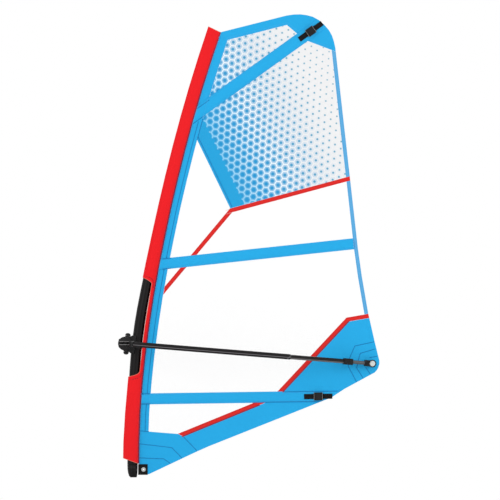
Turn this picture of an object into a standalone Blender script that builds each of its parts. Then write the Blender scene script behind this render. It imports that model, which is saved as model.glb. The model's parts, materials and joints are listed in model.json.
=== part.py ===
"""A child's windsurf rig: bent mast, luff sleeve, patchwork sail and wishbone boom.

Metres, +Z up, +X from the luff to the leech. The sail's plane is Y = 0, and port is -Y.
The origin is the middle of the flat end of the mast foot.
"""

import math

import bmesh
import bpy
from mathutils import Matrix, Vector

# Fits
GAP = 0.0003  # between cloth pieces that are sewn edge to edge, and between seated pieces
RUN = 0.0004  # round a piece that slides or turns
MAST_RUN = 0.0006  # between the mast and what is clamped on it

# Mast: height above the foot and tilt aft, in degrees; each stretch between is one arc
MAST_BENDS = ((0.0, 0.0), (0.30, 1.6), (0.62, 10.8), (0.95, 12.3), (1.25, 14.9), (1.62, 18.9))
MAST_START_X = -0.0035
MAST_BASE = 0.046
MAST_SPLIT = 0.860
SLEEVE_TOP = 1.5696
MAST_TOP = SLEEVE_TOP - 0.0166
MAST_RADIUS = 0.0182
MAST_TIP_RADIUS = 0.0098
MAST_TAPER_FROM = 0.53
MAST_WALL = 0.0022
MAST_SIDES = 20
MAST_STEP = 0.055
FERRULE_LENGTH = 0.16
FERRULE_WALL = 0.0025
TIP_PLUG_DEPTH = 0.018
TIP_PLUG_CROWN = 0.005
FOOT_END_RADIUS = 0.0107
FOOT_SPIGOT = 0.070
FOOT_SOCKET_RADIUS = 0.005
FOOT_SOCKET_DEPTH = 0.030

# Luff sleeve: station on the mast, reach ahead of the mast's axis, reach behind it
SLEEVE_REACH = ((0.0, 0.0338, 0.0220), (0.10, 0.0337, 0.0220), (0.185, 0.0307, 0.0224),
                (0.27, 0.0263, 0.0255), (0.355, 0.0205, 0.0303), (0.50, 0.0, 0.0343),
                (0.62, 0.0, 0.0317), (0.73, 0.0, 0.0296), (0.94, 0.0, 0.0288),
                (1.25, 0.0, 0.0311), (1.567, 0.0, 0.0358))
SLEEVE_WALL = 0.0012
SLEEVE_SEAM_HALF = 0.0030
SLEEVE_SEAM_DEPTH = 0.0030
SLEEVE_LOW = 0.020  # where the teardrop starts, below the hem's cut
SLEEVE_TOP_SLANT = 0.126  # rise of the sleeve's top for each metre ahead of the seam
SLEEVE_HEM_FRONT = (-0.040, 0.0680)
SLEEVE_HEM_REAR = (0.0186, 0.0472)
CUTOUT_LOW = 0.357
CUTOUT_HIGH = 0.690
CUTOUT_BEHIND = 0.0005  # how far the cut-out's rear edge lies behind the mast's surface
CUTOUT_AHEAD = 0.06  # how far the cut-out reaches ahead, past the sleeve's front
# The cut-out's corners, as shares of CUTOUT_CORNER: at the low end from the front, then the high end
CUTOUT_CORNER = 0.018
CUTOUT_LOW_CORNER = ((-2.23, -0.17), (-1.04, 0.12), (-0.37, 0.41), (-0.04, 0.80))
CUTOUT_HIGH_CORNER = ((-0.16, -0.45), (-0.36, -0.16), (-1.0, 0.27), (-1.8, 0.66))

# Sail: edges in the sail's plane as (x, z)
DEEP = 0.01  # half the depth of a tool that cuts right through the cloth
PAST = 0.3  # how far such a tool runs on past the cloth's edge
CLOTH = 0.0010
LUFF_PANEL_WIDTH = 0.0325
LEECH_TAPE_WIDTH = 0.0138
HEAD = ((0.5366, 1.6168), (0.5620, 1.6203), (0.5840, 1.6208), (0.6060, 1.6180),
        (0.6280, 1.6122), (0.6500, 1.6000), (0.6680, 1.5840), (0.6840, 1.5655),
        (0.6945, 1.5470), (0.7015, 1.5260))
LEECH = ((0.7065, 1.5033), (0.7394, 1.2071), (0.7590, 1.0392), (0.7855, 0.8000),
         (0.7992, 0.7031), (0.8209, 0.5771), (0.8430, 0.4800), (0.8606, 0.4080))
FOOT = ((0.8606, 0.3975), (0.8565, 0.3835), (0.8510, 0.3745), (0.8441, 0.3671),
        (0.7385, 0.3098), (0.7120, 0.2925), (0.6940, 0.2802), (0.2625, 0.1085),
        (0.2160, 0.0878), (0.0535, 0.0110), (0.0240, 0.0110))
HEAD_EDGE = ((0.3234, 1.5291), (0.5366, 1.5834), (0.5747, 1.5512), (0.6108, 1.5270), (0.6960, 1.4948))
JUNCTION = (0.3413, 0.9342)  # where the upper and the diagonal tape meet
UPPER_TAPE_END = (0.7543, 1.0455)
DIAGONAL_TAPE_END = (0.1085, 0.6559)
PRINT_EDGE_TOP = (0.2191, 1.1883)
PRINT_EDGE_LOW = (0.3378, 0.9433)
CLEW_TAPE = ((0.8208, 0.5649), (0.7490, 0.5525), (0.5163, 0.3033))
CLEW_TAPE_RUN_ON = 0.08
FOOT_TAPE = ((0.1663, 0.14946), (0.4393, 0.26076))
TACK_TOP = ((0.0211, 0.1631), (0.1560, 0.1522))
TACK_CORNER = ((0.1580, 0.1516), (0.1741, 0.1427))
TACK_SEAM = ((0.1743, 0.1427), (0.2205, 0.0946))
TAPE_WIDE = 0.0150
TAPE_NARROW = 0.0148

# Camber: the sail is a cone about an apex above the head, flat ahead of the first ray and
# behind the last; a ray is given by its run aft for each metre of drop
DRAFT_APEX = (0.51, 2.84)
DRAFT_LUFF_RAY = -0.147
DRAFT_LEECH_RAY = 0.118
DRAFT_SHARE = 0.0115
DRAFT_SKEW = 0.85
DRAFT_STRIPS = 8

# Battens: (name, luff end, leech end, pocket width)
BATTENS = (("top", (0.2160, 1.2702), (0.6756, 1.6013), 0.0430),
           ("middle", (0.0998, 0.7465), (0.7700, 0.8177), 0.0386),
           ("lower", (0.0262, 0.2745), (0.6983, 0.2842), 0.0386))
POCKET_HEIGHT = 0.0055
POCKET_HEM = 0.0008
POCKET_CROWN_HALF = 0.0095
POCKET_SHOULDER = 0.0045
BATTEN_WIDTH = 0.014
BATTEN_THICKNESS = 0.0032
BATTEN_END_MARGIN = 0.012

# Batten tensioners on the top and the lower batten
TENSIONERS = (("top", (0.6203, 1.5616)), ("lower", (0.6466, 0.2833)))
STRAP_LENGTH = 0.099
STRAP_WIDTH = 0.018
STRAP_THICKNESS = 0.0016
BUCKLE_LENGTH = 0.031
BUCKLE_WIDTH = 0.028
BUCKLE_HEIGHT = 0.0075
BUCKLE_FLOOR = 0.0035
BUCKLE_LIP = 0.0016
CAM_LENGTH = 0.024
CAM_THICKNESS = 0.0032
CAM_RADIUS = 0.0021

# Tack and clew hardware
TACK_PATCH_LOW = (0.0175, 0.0088)
TACK_PATCH_SIZE = (0.0320, 0.0375)
TACK_PATCH_WALL = 0.0014
TACK_PATCH_FOLD = 0.0018
TACK_EYELET = (0.0350, 0.0277)
TACK_EYELET_RADIUS = 0.0080
TACK_EYELET_BORE = 0.0025
CLEW = (0.8365, 0.3984)
CLEW_EYELET_RADIUS = 0.0132
TOGGLE_RADIUS = 0.0092
TOGGLE_HALF = 0.0250
EYELET_WALL = 0.0016
EYELET_FLANGE = 0.0015

# Boom head, in the mast's own axes where it is clamped
BOOM_STATION = 0.4637
HUB_AHEAD = 0.0420
HEAD_HALF_WIDTH = 0.0222
HEAD_HALF_HEIGHT = 0.0280  # where the nubs are seated
HEAD_REAR_HALF_HEIGHT = 0.0315
HEAD_FRONT = 0.0140  # ahead of the hub axis
HEAD_REAR = 0.0060  # ahead of the mast's axis
HEAD_BEVEL = 0.0018
BAND_THICKNESS = 0.0012
BAND_HALF_HEIGHT = 0.0120
BAND_SLACK = 0.0010
PIN_AHEAD = 0.0350
PIN_RADIUS = 0.0045
NUB_RADIUS = 0.0095
NUB_HEIGHT = 0.0097
LEVER_AHEAD = 0.0605
LEVER_UP = 0.0100
LEVER_LENGTH = 0.0270
LEVER_HALF_WIDTH = 0.0130
LEVER_BARREL = 0.0040
LEVER_AXLE = 0.0020
EAR_THICKNESS = 0.0040
EAR_RADIUS = 0.0053

# Hubs and their bolts
HUB_RADIUS = 0.0245
HUB_INNER = 0.0240
HUB_THICKNESS = 0.0125
HUB_GROOVE = 0.0032
HUB_SOCKET_WALL = 0.0028
HUB_SOCKET_DEPTH = 0.024
BOLT_RADIUS = 0.0045
BOLT_END = 0.0110
BOLT_HEAD_RADIUS = 0.0085
BOLT_HEAD_HEIGHT = 0.0040

# Wishbone, in the boom's own axes: x aft along the boom, y to the side
ARM_RADIUS = 0.0080
ARM_WALL = 0.0011
ARM_START = (0.020, 0.0400)
ARM_LEAVE = 52.0  # the angle at which the tube leaves the hub
ARM_BOW_PULL = 0.125
ARM_STRAIGHT_FROM = 0.540
TAIL_ANGLE = 12.0
TAIL_SIDE = 0.0160
ARM_END_BACK = 0.0845  # from the toggle's axis forward to the arm tube's end
ARM_SIDES = 12
ARM_STEPS = 13
GRIP_WALL = 0.0012
GRIP_END = 0.580
TAIL_RADIUS = 0.0066
TAIL_WALL = 0.0012
TAIL_LAP = 0.125  # how much of the tail tube is in the arm
CLIP_LENGTH = 0.033
CLIP_SPLIT = 0.55  # the share of the clip that holds the arm tube
CLIP_HALF_HEIGHT = 0.0110
CLIP_HALF_WIDTH = 0.0105
CLIP_LEVER_LENGTH = 0.026
CLIP_LEVER_THICKNESS = 0.0035
FITTING_LENGTH = 0.0205
FITTING_HALF_HEIGHT = 0.0110
FITTING_HALF_WIDTH = 0.0090
FITTING_REACH = 0.0085  # from the toggle's axis to the fitting's rear edge
SEAT = 0.0008  # between the fitting's cup and the toggle

# Finishes: colour, roughness, metallic, alpha
FINISHES = {
    "red_cloth": ((0.83, 0.014, 0.021), 0.75, 0.0, 1.0),
    "blue_cloth": ((0.022, 0.41, 0.78), 0.70, 0.0, 1.0),
    "pale_blue_tape": ((0.10, 0.39, 0.72), 0.70, 0.0, 1.0),
    "clear_film": ((0.95, 0.96, 0.97), 0.12, 0.0, 0.35),
    "printed_film": ((0.62, 0.80, 0.90), 0.30, 0.0, 1.0),
    "carbon_black": ((0.018, 0.016, 0.017), 0.35, 0.0, 1.0),
    "black_plastic": ((0.020, 0.020, 0.021), 0.50, 0.0, 1.0),
    "black_webbing": ((0.018, 0.018, 0.020), 0.85, 0.0, 1.0),
    "grip_foam": ((0.017, 0.016, 0.017), 0.80, 0.0, 1.0),
    "grey_tube": ((0.17, 0.16, 0.17), 0.35, 0.9, 1.0),
    "steel": ((0.62, 0.64, 0.64), 0.25, 1.0, 1.0),
    "black_steel": ((0.020, 0.020, 0.021), 0.40, 0.7, 1.0),
    "batten_glass": ((0.80, 0.80, 0.76), 0.40, 0.0, 1.0),
}

SIDES = (("port", -1), ("starboard", 1))


def clear_scene():
    for item in list(bpy.data.objects):
        bpy.data.objects.remove(item, do_unlink=True)


def material(name):
    """The finish of that name as a Principled material, made once."""
    found = bpy.data.materials.get(name)
    if found:
        return found
    colour, roughness, metallic, alpha = FINISHES[name]
    made = bpy.data.materials.new(name)
    made.use_nodes = True
    shader = made.node_tree.nodes["Principled BSDF"]
    shader.inputs["Base Color"].default_value = (*colour, 1.0)
    shader.inputs["Roughness"].default_value = roughness
    shader.inputs["Metallic"].default_value = metallic
    shader.inputs["Alpha"].default_value = alpha
    made.diffuse_color = (*colour, alpha)
    return made


def empty(name, location, rotation=(0.0, 0.0, 0.0), parent=None):
    """A frame that pieces hang from; one that something turns on has its origin on the axis."""
    made = bpy.data.objects.new(name, None)
    bpy.context.scene.collection.objects.link(made)
    made.location = location
    made.rotation_euler = rotation
    made.parent = parent
    return made


def piece(name, bm, finish, location=(0.0, 0.0, 0.0), rotation=(0.0, 0.0, 0.0), parent=None, smooth=None):
    """One named sub-part from a bmesh in its own axes."""
    bmesh.ops.recalc_face_normals(bm, faces=bm.faces)
    mesh = bpy.data.meshes.new(name)
    bm.to_mesh(mesh)
    bm.free()
    mesh.materials.append(material(finish))
    if smooth is not None:
        mesh.shade_smooth()
        mesh.set_sharp_from_angle(angle=math.radians(smooth))
    made = bpy.data.objects.new(name, mesh)
    bpy.context.scene.collection.objects.link(made)
    made.location = location
    made.rotation_euler = rotation
    made.parent = parent
    return made


# Solids


def prism(outline, low, high, axis="y"):
    """An outline in x and z pushed along y, or one in x and y pushed along z."""
    def at(point, depth):
        if axis == "y":
            return Vector((point[0], depth, point[1]))
        return Vector((point[0], point[1], depth))
    bm = bmesh.new()
    near = [bm.verts.new(at(p, low)) for p in outline]
    far = [bm.verts.new(at(p, high)) for p in outline]
    bm.faces.new(near)
    bm.faces.new(far)
    for i in range(len(outline)):
        j = (i + 1) % len(outline)
        bm.faces.new((near[i], near[j], far[j], far[i]))
    bmesh.ops.recalc_face_normals(bm, faces=bm.faces)
    return bm


def ring_prism(outer, inner, low, high):
    """A flat ring between two outlines of x and y with as many points, pushed along z."""
    bm = bmesh.new()
    loops = [[bm.verts.new((p[0], p[1], z)) for p in line] for line in (outer, inner) for z in (low, high)]
    outer_low, outer_high, inner_low, inner_high = loops
    for a, b in ((outer_low, outer_high), (outer_high, inner_high), (inner_high, inner_low),
                 (inner_low, outer_low)):
        for i in range(len(a)):
            j = (i + 1) % len(a)
            bm.faces.new((a[i], a[j], b[j], b[i]))
    bmesh.ops.recalc_face_normals(bm, faces=bm.faces)
    return bm


def block(low, high):
    """A plain block between two corners."""
    bm = bmesh.new()
    bmesh.ops.create_cube(bm, size=1.0)
    size = [b - a for a, b in zip(low, high)]
    centre = [(a + b) / 2 for a, b in zip(low, high)]
    bmesh.ops.scale(bm, vec=size, verts=bm.verts)
    bmesh.ops.translate(bm, vec=centre, verts=bm.verts)
    return bm


def bevel_edges(bm, width, segments=2, along=None):
    """Rounds the sharp edges, or only those along one axis."""
    def wanted(edge):
        if edge.calc_face_angle(0.0) < math.radians(40):
            return False
        if along is None:
            return True
        run = (edge.verts[1].co - edge.verts[0].co).normalized()
        return abs(run["xyz".index(along)]) > 0.99
    edges = [e for e in bm.edges if wanted(e)]
    bmesh.ops.bevel(bm, geom=edges, offset=width, offset_type="OFFSET", segments=segments,
                    profile=0.5, affect="EDGES", clamp_overlap=True)
    return bm


def turned(profile, sides, axis="z"):
    """A closed profile of (radius, height) spun round the axis; a point at radius 0 is a pole."""
    bm = bmesh.new()
    rings = []
    for radius, height in profile:
        if radius < 1e-9:
            rings.append([bm.verts.new((0.0, 0.0, height))])
            continue
        rings.append([bm.verts.new((radius * math.cos(2 * math.pi * k / sides),
                                    radius * math.sin(2 * math.pi * k / sides), height))
                      for k in range(sides)])
    count = len(rings)
    last = count - 1 if len(rings[0]) == 1 else count
    for i in range(last):
        a, b = rings[i], rings[(i + 1) % count]
        for k in range(sides):
            j = (k + 1) % sides
            corners = (a[k % len(a)], a[j % len(a)], b[j % len(b)], b[k % len(b)])
            unique = list(dict.fromkeys(corners))
            if len(unique) > 2:
                bm.faces.new(unique)
    if axis == "y":
        bmesh.ops.rotate(bm, matrix=Matrix.Rotation(-math.pi / 2, 3, "X"), verts=bm.verts)
    if axis == "x":
        bmesh.ops.rotate(bm, matrix=Matrix.Rotation(math.pi / 2, 3, "Y"), verts=bm.verts)
    bmesh.ops.recalc_face_normals(bm, faces=bm.faces)
    return bm


def rod(radius, low, high, sides, axis="z"):
    return turned(((0.0, low), (radius, low), (radius, high), (0.0, high)), sides, axis)


def moved(bm, offset):
    bmesh.ops.translate(bm, vec=offset, verts=bm.verts)
    return bm


def turned_by(bm, degrees, axis):
    bmesh.ops.rotate(bm, matrix=Matrix.Rotation(math.radians(degrees), 3, axis), verts=bm.verts)
    return bm


def lofted(rings):
    """A solid through rings of as many points, with flat ends."""
    bm = bmesh.new()
    loops = [[bm.verts.new(p) for p in ring] for ring in rings]
    for a, b in zip(loops, loops[1:]):
        for i in range(len(a)):
            j = (i + 1) % len(a)
            bm.faces.new((a[i], a[j], b[j], b[i]))
    bm.faces.new(loops[0])
    bm.faces.new(loops[-1])
    bmesh.ops.recalc_face_normals(bm, faces=bm.faces)
    return bm


def shell(outer, inner):
    """A wall between outer and inner rings, open at both ends."""
    bm = bmesh.new()
    out = [[bm.verts.new(p) for p in ring] for ring in outer]
    inn = [[bm.verts.new(p) for p in ring] for ring in inner]
    pairs = list(zip(out, out[1:])) + list(zip(inn, inn[1:])) + [(out[0], inn[0]), (out[-1], inn[-1])]
    for a, b in pairs:
        for i in range(len(a)):
            j = (i + 1) % len(a)
            bm.faces.new((a[i], a[j], b[j], b[i]))
    bmesh.ops.recalc_face_normals(bm, faces=bm.faces)
    return bm


def combined(bm, tools, operation="DIFFERENCE"):
    """The solid after an exact Boolean with each tool in turn."""
    for tool in tools:
        objects = []
        for source in (bm, tool):
            mesh = bpy.data.meshes.new("working")
            bmesh.ops.recalc_face_normals(source, faces=source.faces)
            source.to_mesh(mesh)
            source.free()
            made = bpy.data.objects.new("working", mesh)
            bpy.context.scene.collection.objects.link(made)
            objects.append(made)
        target, cutter = objects
        boolean = target.modifiers.new("cut", "BOOLEAN")
        boolean.operation = operation
        boolean.solver = "EXACT"
        boolean.object = cutter
        bpy.context.view_layer.update()
        result = target.evaluated_get(bpy.context.evaluated_depsgraph_get())
        bm = bmesh.new()
        bm.from_mesh(result.data)
        for made in objects:
            mesh = made.data
            bpy.data.objects.remove(made, do_unlink=True)
            bpy.data.meshes.remove(mesh)
        bmesh.ops.remove_doubles(bm, verts=bm.verts, dist=1e-7)
    return bm


# Outlines in a plane


def side_of(point, line):
    """How far a point lies to the left of a line from one point to another."""
    (ax, az), (bx, bz) = line
    run = math.hypot(bx - ax, bz - az)
    return ((point[1] - az) * (bx - ax) - (point[0] - ax) * (bz - az)) / run


def clipped(outline, line, least=None, most=None):
    """The part of an outline that lies at least, or at most, so far to the left of a line."""
    for bound, sign in ((least, 1.0), (most, -1.0)):
        if bound is None:
            continue
        kept = []
        for i, point in enumerate(outline):
            after = outline[(i + 1) % len(outline)]
            here = sign * (side_of(point, line) - bound)
            there = sign * (side_of(after, line) - bound)
            if here >= 0:
                kept.append(point)
            if here * there < 0:
                share = here / (here - there)
                kept.append(tuple(a + (b - a) * share for a, b in zip(point, after)))
        outline = kept
    return outline


def offset_line(points, distance):
    """An open line moved to its left by a distance, with mitred corners."""
    moved_points = []
    for i, point in enumerate(points):
        before = points[max(i - 1, 0)]
        after = points[min(i + 1, len(points) - 1)]
        first = Vector(point) - Vector(before) if i else Vector(after) - Vector(point)
        second = Vector(after) - Vector(point) if i < len(points) - 1 else first
        n1 = Vector((-first.y, first.x)).normalized()
        n2 = Vector((-second.y, second.x)).normalized()
        middle = (n1 + n2).normalized()
        reach = distance / max(middle.dot(n1), 0.2)
        moved_points.append((point[0] + middle.x * reach, point[1] + middle.y * reach))
    return moved_points


def line_meet(line_a, line_b):
    """Where two lines cross."""
    (x1, z1), (x2, z2) = line_a
    along = side_of((x1, z1), line_b), side_of((x2, z2), line_b)
    share = along[0] / (along[0] - along[1])
    return (x1 + (x2 - x1) * share, z1 + (z2 - z1) * share)


# The mast's bend


def mast_at(height):
    """The mast's axis at a height: its x, and its tilt aft in radians. Each stretch is an arc."""
    x = MAST_START_X
    for (low, tilt_low), (high, tilt_high) in zip(MAST_BENDS, MAST_BENDS[1:]):
        sin_low = math.sin(math.radians(tilt_low))
        sin_high = math.sin(math.radians(tilt_high))
        top = min(height, high) if high < MAST_BENDS[-1][0] else height
        sin_top = sin_low + (sin_high - sin_low) * (top - low) / (high - low)
        tilt = math.asin(sin_top)
        x += (top - low) * math.tan((math.radians(tilt_low) + tilt) / 2)
        if height <= high:
            break
    return x, tilt


def mast_frame(height):
    """Point, aft direction and up direction of the mast at a height."""
    x, tilt = mast_at(height)
    point = Vector((x, 0.0, height))
    aft = Vector((math.cos(tilt), 0.0, -math.sin(tilt)))
    up = Vector((math.sin(tilt), 0.0, math.cos(tilt)))
    return point, aft, up


def mast_radius(height):
    if height <= MAST_TAPER_FROM:
        return MAST_RADIUS
    share = (height - MAST_TAPER_FROM) / (MAST_TOP - MAST_TAPER_FROM)
    return MAST_RADIUS + (MAST_TIP_RADIUS - MAST_RADIUS) * share


def between(table, height, column):
    """A column of a table of stations, read at a height."""
    if height <= table[0][0]:
        return table[0][column]
    for low, high in zip(table, table[1:]):
        if height <= high[0]:
            share = (height - low[0]) / (high[0] - low[0])
            return low[column] + (high[column] - low[column]) * share
    return table[-1][column]


def heights(low, high, step):
    count = max(2, round((high - low) / step) + 1)
    return [low + (high - low) * k / (count - 1) for k in range(count)]


def mast_ring(height, radius):
    point, aft, _ = mast_frame(height)
    ring = []
    for k in range(MAST_SIDES):
        turn = 2 * math.pi * k / MAST_SIDES
        ring.append(point + aft * (radius * math.cos(turn)) + Vector((0, radius * math.sin(turn), 0)))
    return ring


def make_mast():
    """Two bent tubes over an inner ferrule, a foot plug with its joint socket, and a tip plug."""
    for name, low, high in (("mast_lower_tube", MAST_BASE, MAST_SPLIT - GAP / 2),
                            ("mast_upper_tube", MAST_SPLIT + GAP / 2, MAST_TOP)):
        steps = heights(low, high, MAST_STEP if low == MAST_BASE else 2 * MAST_STEP)
        outer = [mast_ring(h, mast_radius(h)) for h in steps]
        inner = [mast_ring(h, mast_radius(h) - MAST_WALL) for h in steps]
        piece(name, shell(outer, inner), "carbon_black", smooth=40)

    steps = heights(MAST_SPLIT - FERRULE_LENGTH / 2, MAST_SPLIT + FERRULE_LENGTH / 2, 0.03)
    fit = MAST_WALL + GAP
    outer = [mast_ring(h, mast_radius(h) - fit) for h in steps]
    inner = [mast_ring(h, mast_radius(h) - fit - FERRULE_WALL) for h in steps]
    piece("mast_ferrule", shell(outer, inner), "carbon_black", smooth=40)

    seat = MAST_TOP + GAP
    bore = mast_radius(MAST_TOP) - MAST_WALL - GAP
    crown = ((seat - TIP_PLUG_DEPTH, bore), (seat, bore), (seat, MAST_TIP_RADIUS),
             (seat + TIP_PLUG_CROWN * 0.6, MAST_TIP_RADIUS * 0.88),
             (seat + TIP_PLUG_CROWN, MAST_TIP_RADIUS * 0.55))
    piece("mast_tip_plug", lofted([mast_ring(h, r) for h, r in crown]), "black_plastic", smooth=40)
    make_foot()


def make_foot():
    """The plug under the mast: a rounded shoe, its spigot in the tube, and the joint's socket."""
    shoulder = MAST_BASE - GAP
    axis_x, _ = mast_at(shoulder)
    rings = []
    for share in (0.0, 0.12, 0.35, 0.65, 1.0):
        swell = math.sin(math.pi / 2 * share ** 0.55)
        radius = FOOT_END_RADIUS + (MAST_RADIUS - FOOT_END_RADIUS) * swell
        centre = Vector((axis_x * swell, 0.0, shoulder * share))
        rings.append([centre + Vector((radius * math.cos(2 * math.pi * k / MAST_SIDES),
                                       radius * math.sin(2 * math.pi * k / MAST_SIDES), 0.0))
                      for k in range(MAST_SIDES)])
    bore = MAST_RADIUS - MAST_WALL - GAP
    for height in heights(shoulder, shoulder + FOOT_SPIGOT, 0.035):
        rings.append(mast_ring(height, bore))
    socket = rod(FOOT_SOCKET_RADIUS, -0.01, FOOT_SOCKET_DEPTH, 16)
    piece("mast_foot", combined(lofted(rings), [socket]), "black_plastic", smooth=40)


# The luff sleeve


def sleeve_section(front, half, rear, rear_half):
    """A teardrop of (aft, side): round ahead of the mast, drawn in to the seam behind it."""
    points = []
    for k in range(9):
        turn = math.pi / 2 * (1 + k / 8)
        points.append((front * math.cos(turn), half * math.sin(turn)))
    for k in range(7, -1, -1):
        points.append((points[k][0], -points[k][1]))
    tail = []
    for share in (0.28, 0.52, 0.74, 0.90, 1.0):
        tail.append((rear * share, rear_half + (half - rear_half) * math.sqrt(1 - share ** 2)))
    points += [(x, -y) for x, y in tail]
    points += [(x, y) for x, y in reversed(tail)]
    return points


def sleeve_ring(height, inset):
    """A ring of the sleeve's outside, or of its inside where inset is its wall."""
    point, aft, up = mast_frame(height)
    half = mast_radius(height) + MAST_RUN + SLEEVE_WALL
    front = max(half, between(SLEEVE_REACH, height, 1))
    reach = between(SLEEVE_REACH, height, 2)
    rear, rear_half = reach, SLEEVE_SEAM_HALF
    if inset:
        rear -= SLEEVE_SEAM_DEPTH
        rear_half -= SLEEVE_WALL * 0.8
    outline = sleeve_section(front - inset, half - inset, rear, rear_half)
    slant = SLEEVE_TOP_SLANT if height > SLEEVE_TOP - GAP else 0.0
    return [point + aft * a + up * (slant * (reach - a)) + Vector((0, b, 0)) for a, b in outline]


def sleeve_steps():
    return heights(SLEEVE_LOW, SLEEVE_TOP, 0.10)


def luff_seam(behind=0.0):
    """The sleeve's rear edge in the sail's plane, upwards, moved aft by a distance."""
    line = []
    for height in sleeve_steps():
        point, aft, _ = mast_frame(height)
        seam = point + aft * (between(SLEEVE_REACH, height, 2) + behind)
        line.append((seam.x, seam.z))
    return line


def make_sleeve():
    """The sleeve over the mast, with the cut-out where the boom is clamped and a slanted hem."""
    steps = sleeve_steps()
    bm = shell([sleeve_ring(h, 0.0) for h in steps], [sleeve_ring(h, SLEEVE_WALL) for h in steps])
    rear = []
    for height in heights(CUTOUT_LOW, CUTOUT_HIGH, 0.06):
        point, aft, _ = mast_frame(height)
        edge = point + aft * (mast_radius(height) + CUTOUT_BEHIND)
        rear.append((edge.x, edge.z))
    low, high = rear[0], rear[-1]
    lower = [(low[0] + a * CUTOUT_CORNER, low[1] + b * CUTOUT_CORNER) for a, b in CUTOUT_LOW_CORNER]
    upper = [(high[0] + a * CUTOUT_CORNER, high[1] + b * CUTOUT_CORNER) for a, b in CUTOUT_HIGH_CORNER]
    ahead = CUTOUT_AHEAD
    outline = [(lower[0][0] - ahead, lower[0][1])] + lower + rear[1:-1] + upper
    outline.append((upper[-1][0] - ahead, upper[-1][1]))
    window = prism(outline, -ahead, ahead)
    (fx, fz), (rx, rz) = SLEEVE_HEM_FRONT, SLEEVE_HEM_REAR
    slope = (rz - fz) / (rx - fx)
    hem = prism([(fx - ahead, fz - slope * ahead), (rx + ahead, rz + slope * ahead),
                 (rx + ahead, -ahead), (fx - ahead, -ahead)], -ahead, ahead)
    piece("luff_sleeve", combined(bm, [window, hem]), "red_cloth", smooth=40)


# The sail


def draft_value(share):
    """The camber's shape from 0 at the first ray to 0 at the last."""
    if share <= 0 or share >= 1:
        return 0.0
    return math.sin(math.pi * share ** DRAFT_SKEW) ** 2


def draft_at(x, z):
    """How far the cloth lies to starboard. It is flat between one ray and the next."""
    drop = DRAFT_APEX[1] - z
    place = ((x - DRAFT_APEX[0]) / drop - DRAFT_LUFF_RAY) / (DRAFT_LEECH_RAY - DRAFT_LUFF_RAY)
    strip = min(max(place * DRAFT_STRIPS, 0.0), float(DRAFT_STRIPS))
    low = min(int(strip), DRAFT_STRIPS - 1)
    a = draft_value(low / DRAFT_STRIPS)
    b = draft_value((low + 1) / DRAFT_STRIPS)
    return DRAFT_SHARE * drop * (a + (b - a) * (strip - low))


def draped(bm):
    """Cuts a flat piece along the camber's rays and moves it onto the camber."""
    for k in range(DRAFT_STRIPS + 1):
        slope = DRAFT_LUFF_RAY + (DRAFT_LEECH_RAY - DRAFT_LUFF_RAY) * k / DRAFT_STRIPS
        geom = list(bm.verts) + list(bm.edges) + list(bm.faces)
        bmesh.ops.bisect_plane(bm, geom=geom, dist=1e-7, plane_co=(DRAFT_APEX[0], 0, DRAFT_APEX[1]),
                               plane_no=Vector((1.0, 0.0, slope)).normalized())
    for vert in bm.verts:
        vert.co.y += draft_at(vert.co.x, vert.co.z)
    return bm


def whole_sail(luff_behind, leech_inset):
    """The cloth's outline, from the tack up the luff and round, with its sides moved in."""
    luff = luff_seam(luff_behind)
    leech = offset_line(LEECH, -leech_inset) if leech_inset else list(LEECH)
    return luff + list(HEAD) + leech + list(FOOT)


def seam_half(width=0.0):
    return width / 2 + GAP / 2


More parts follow.
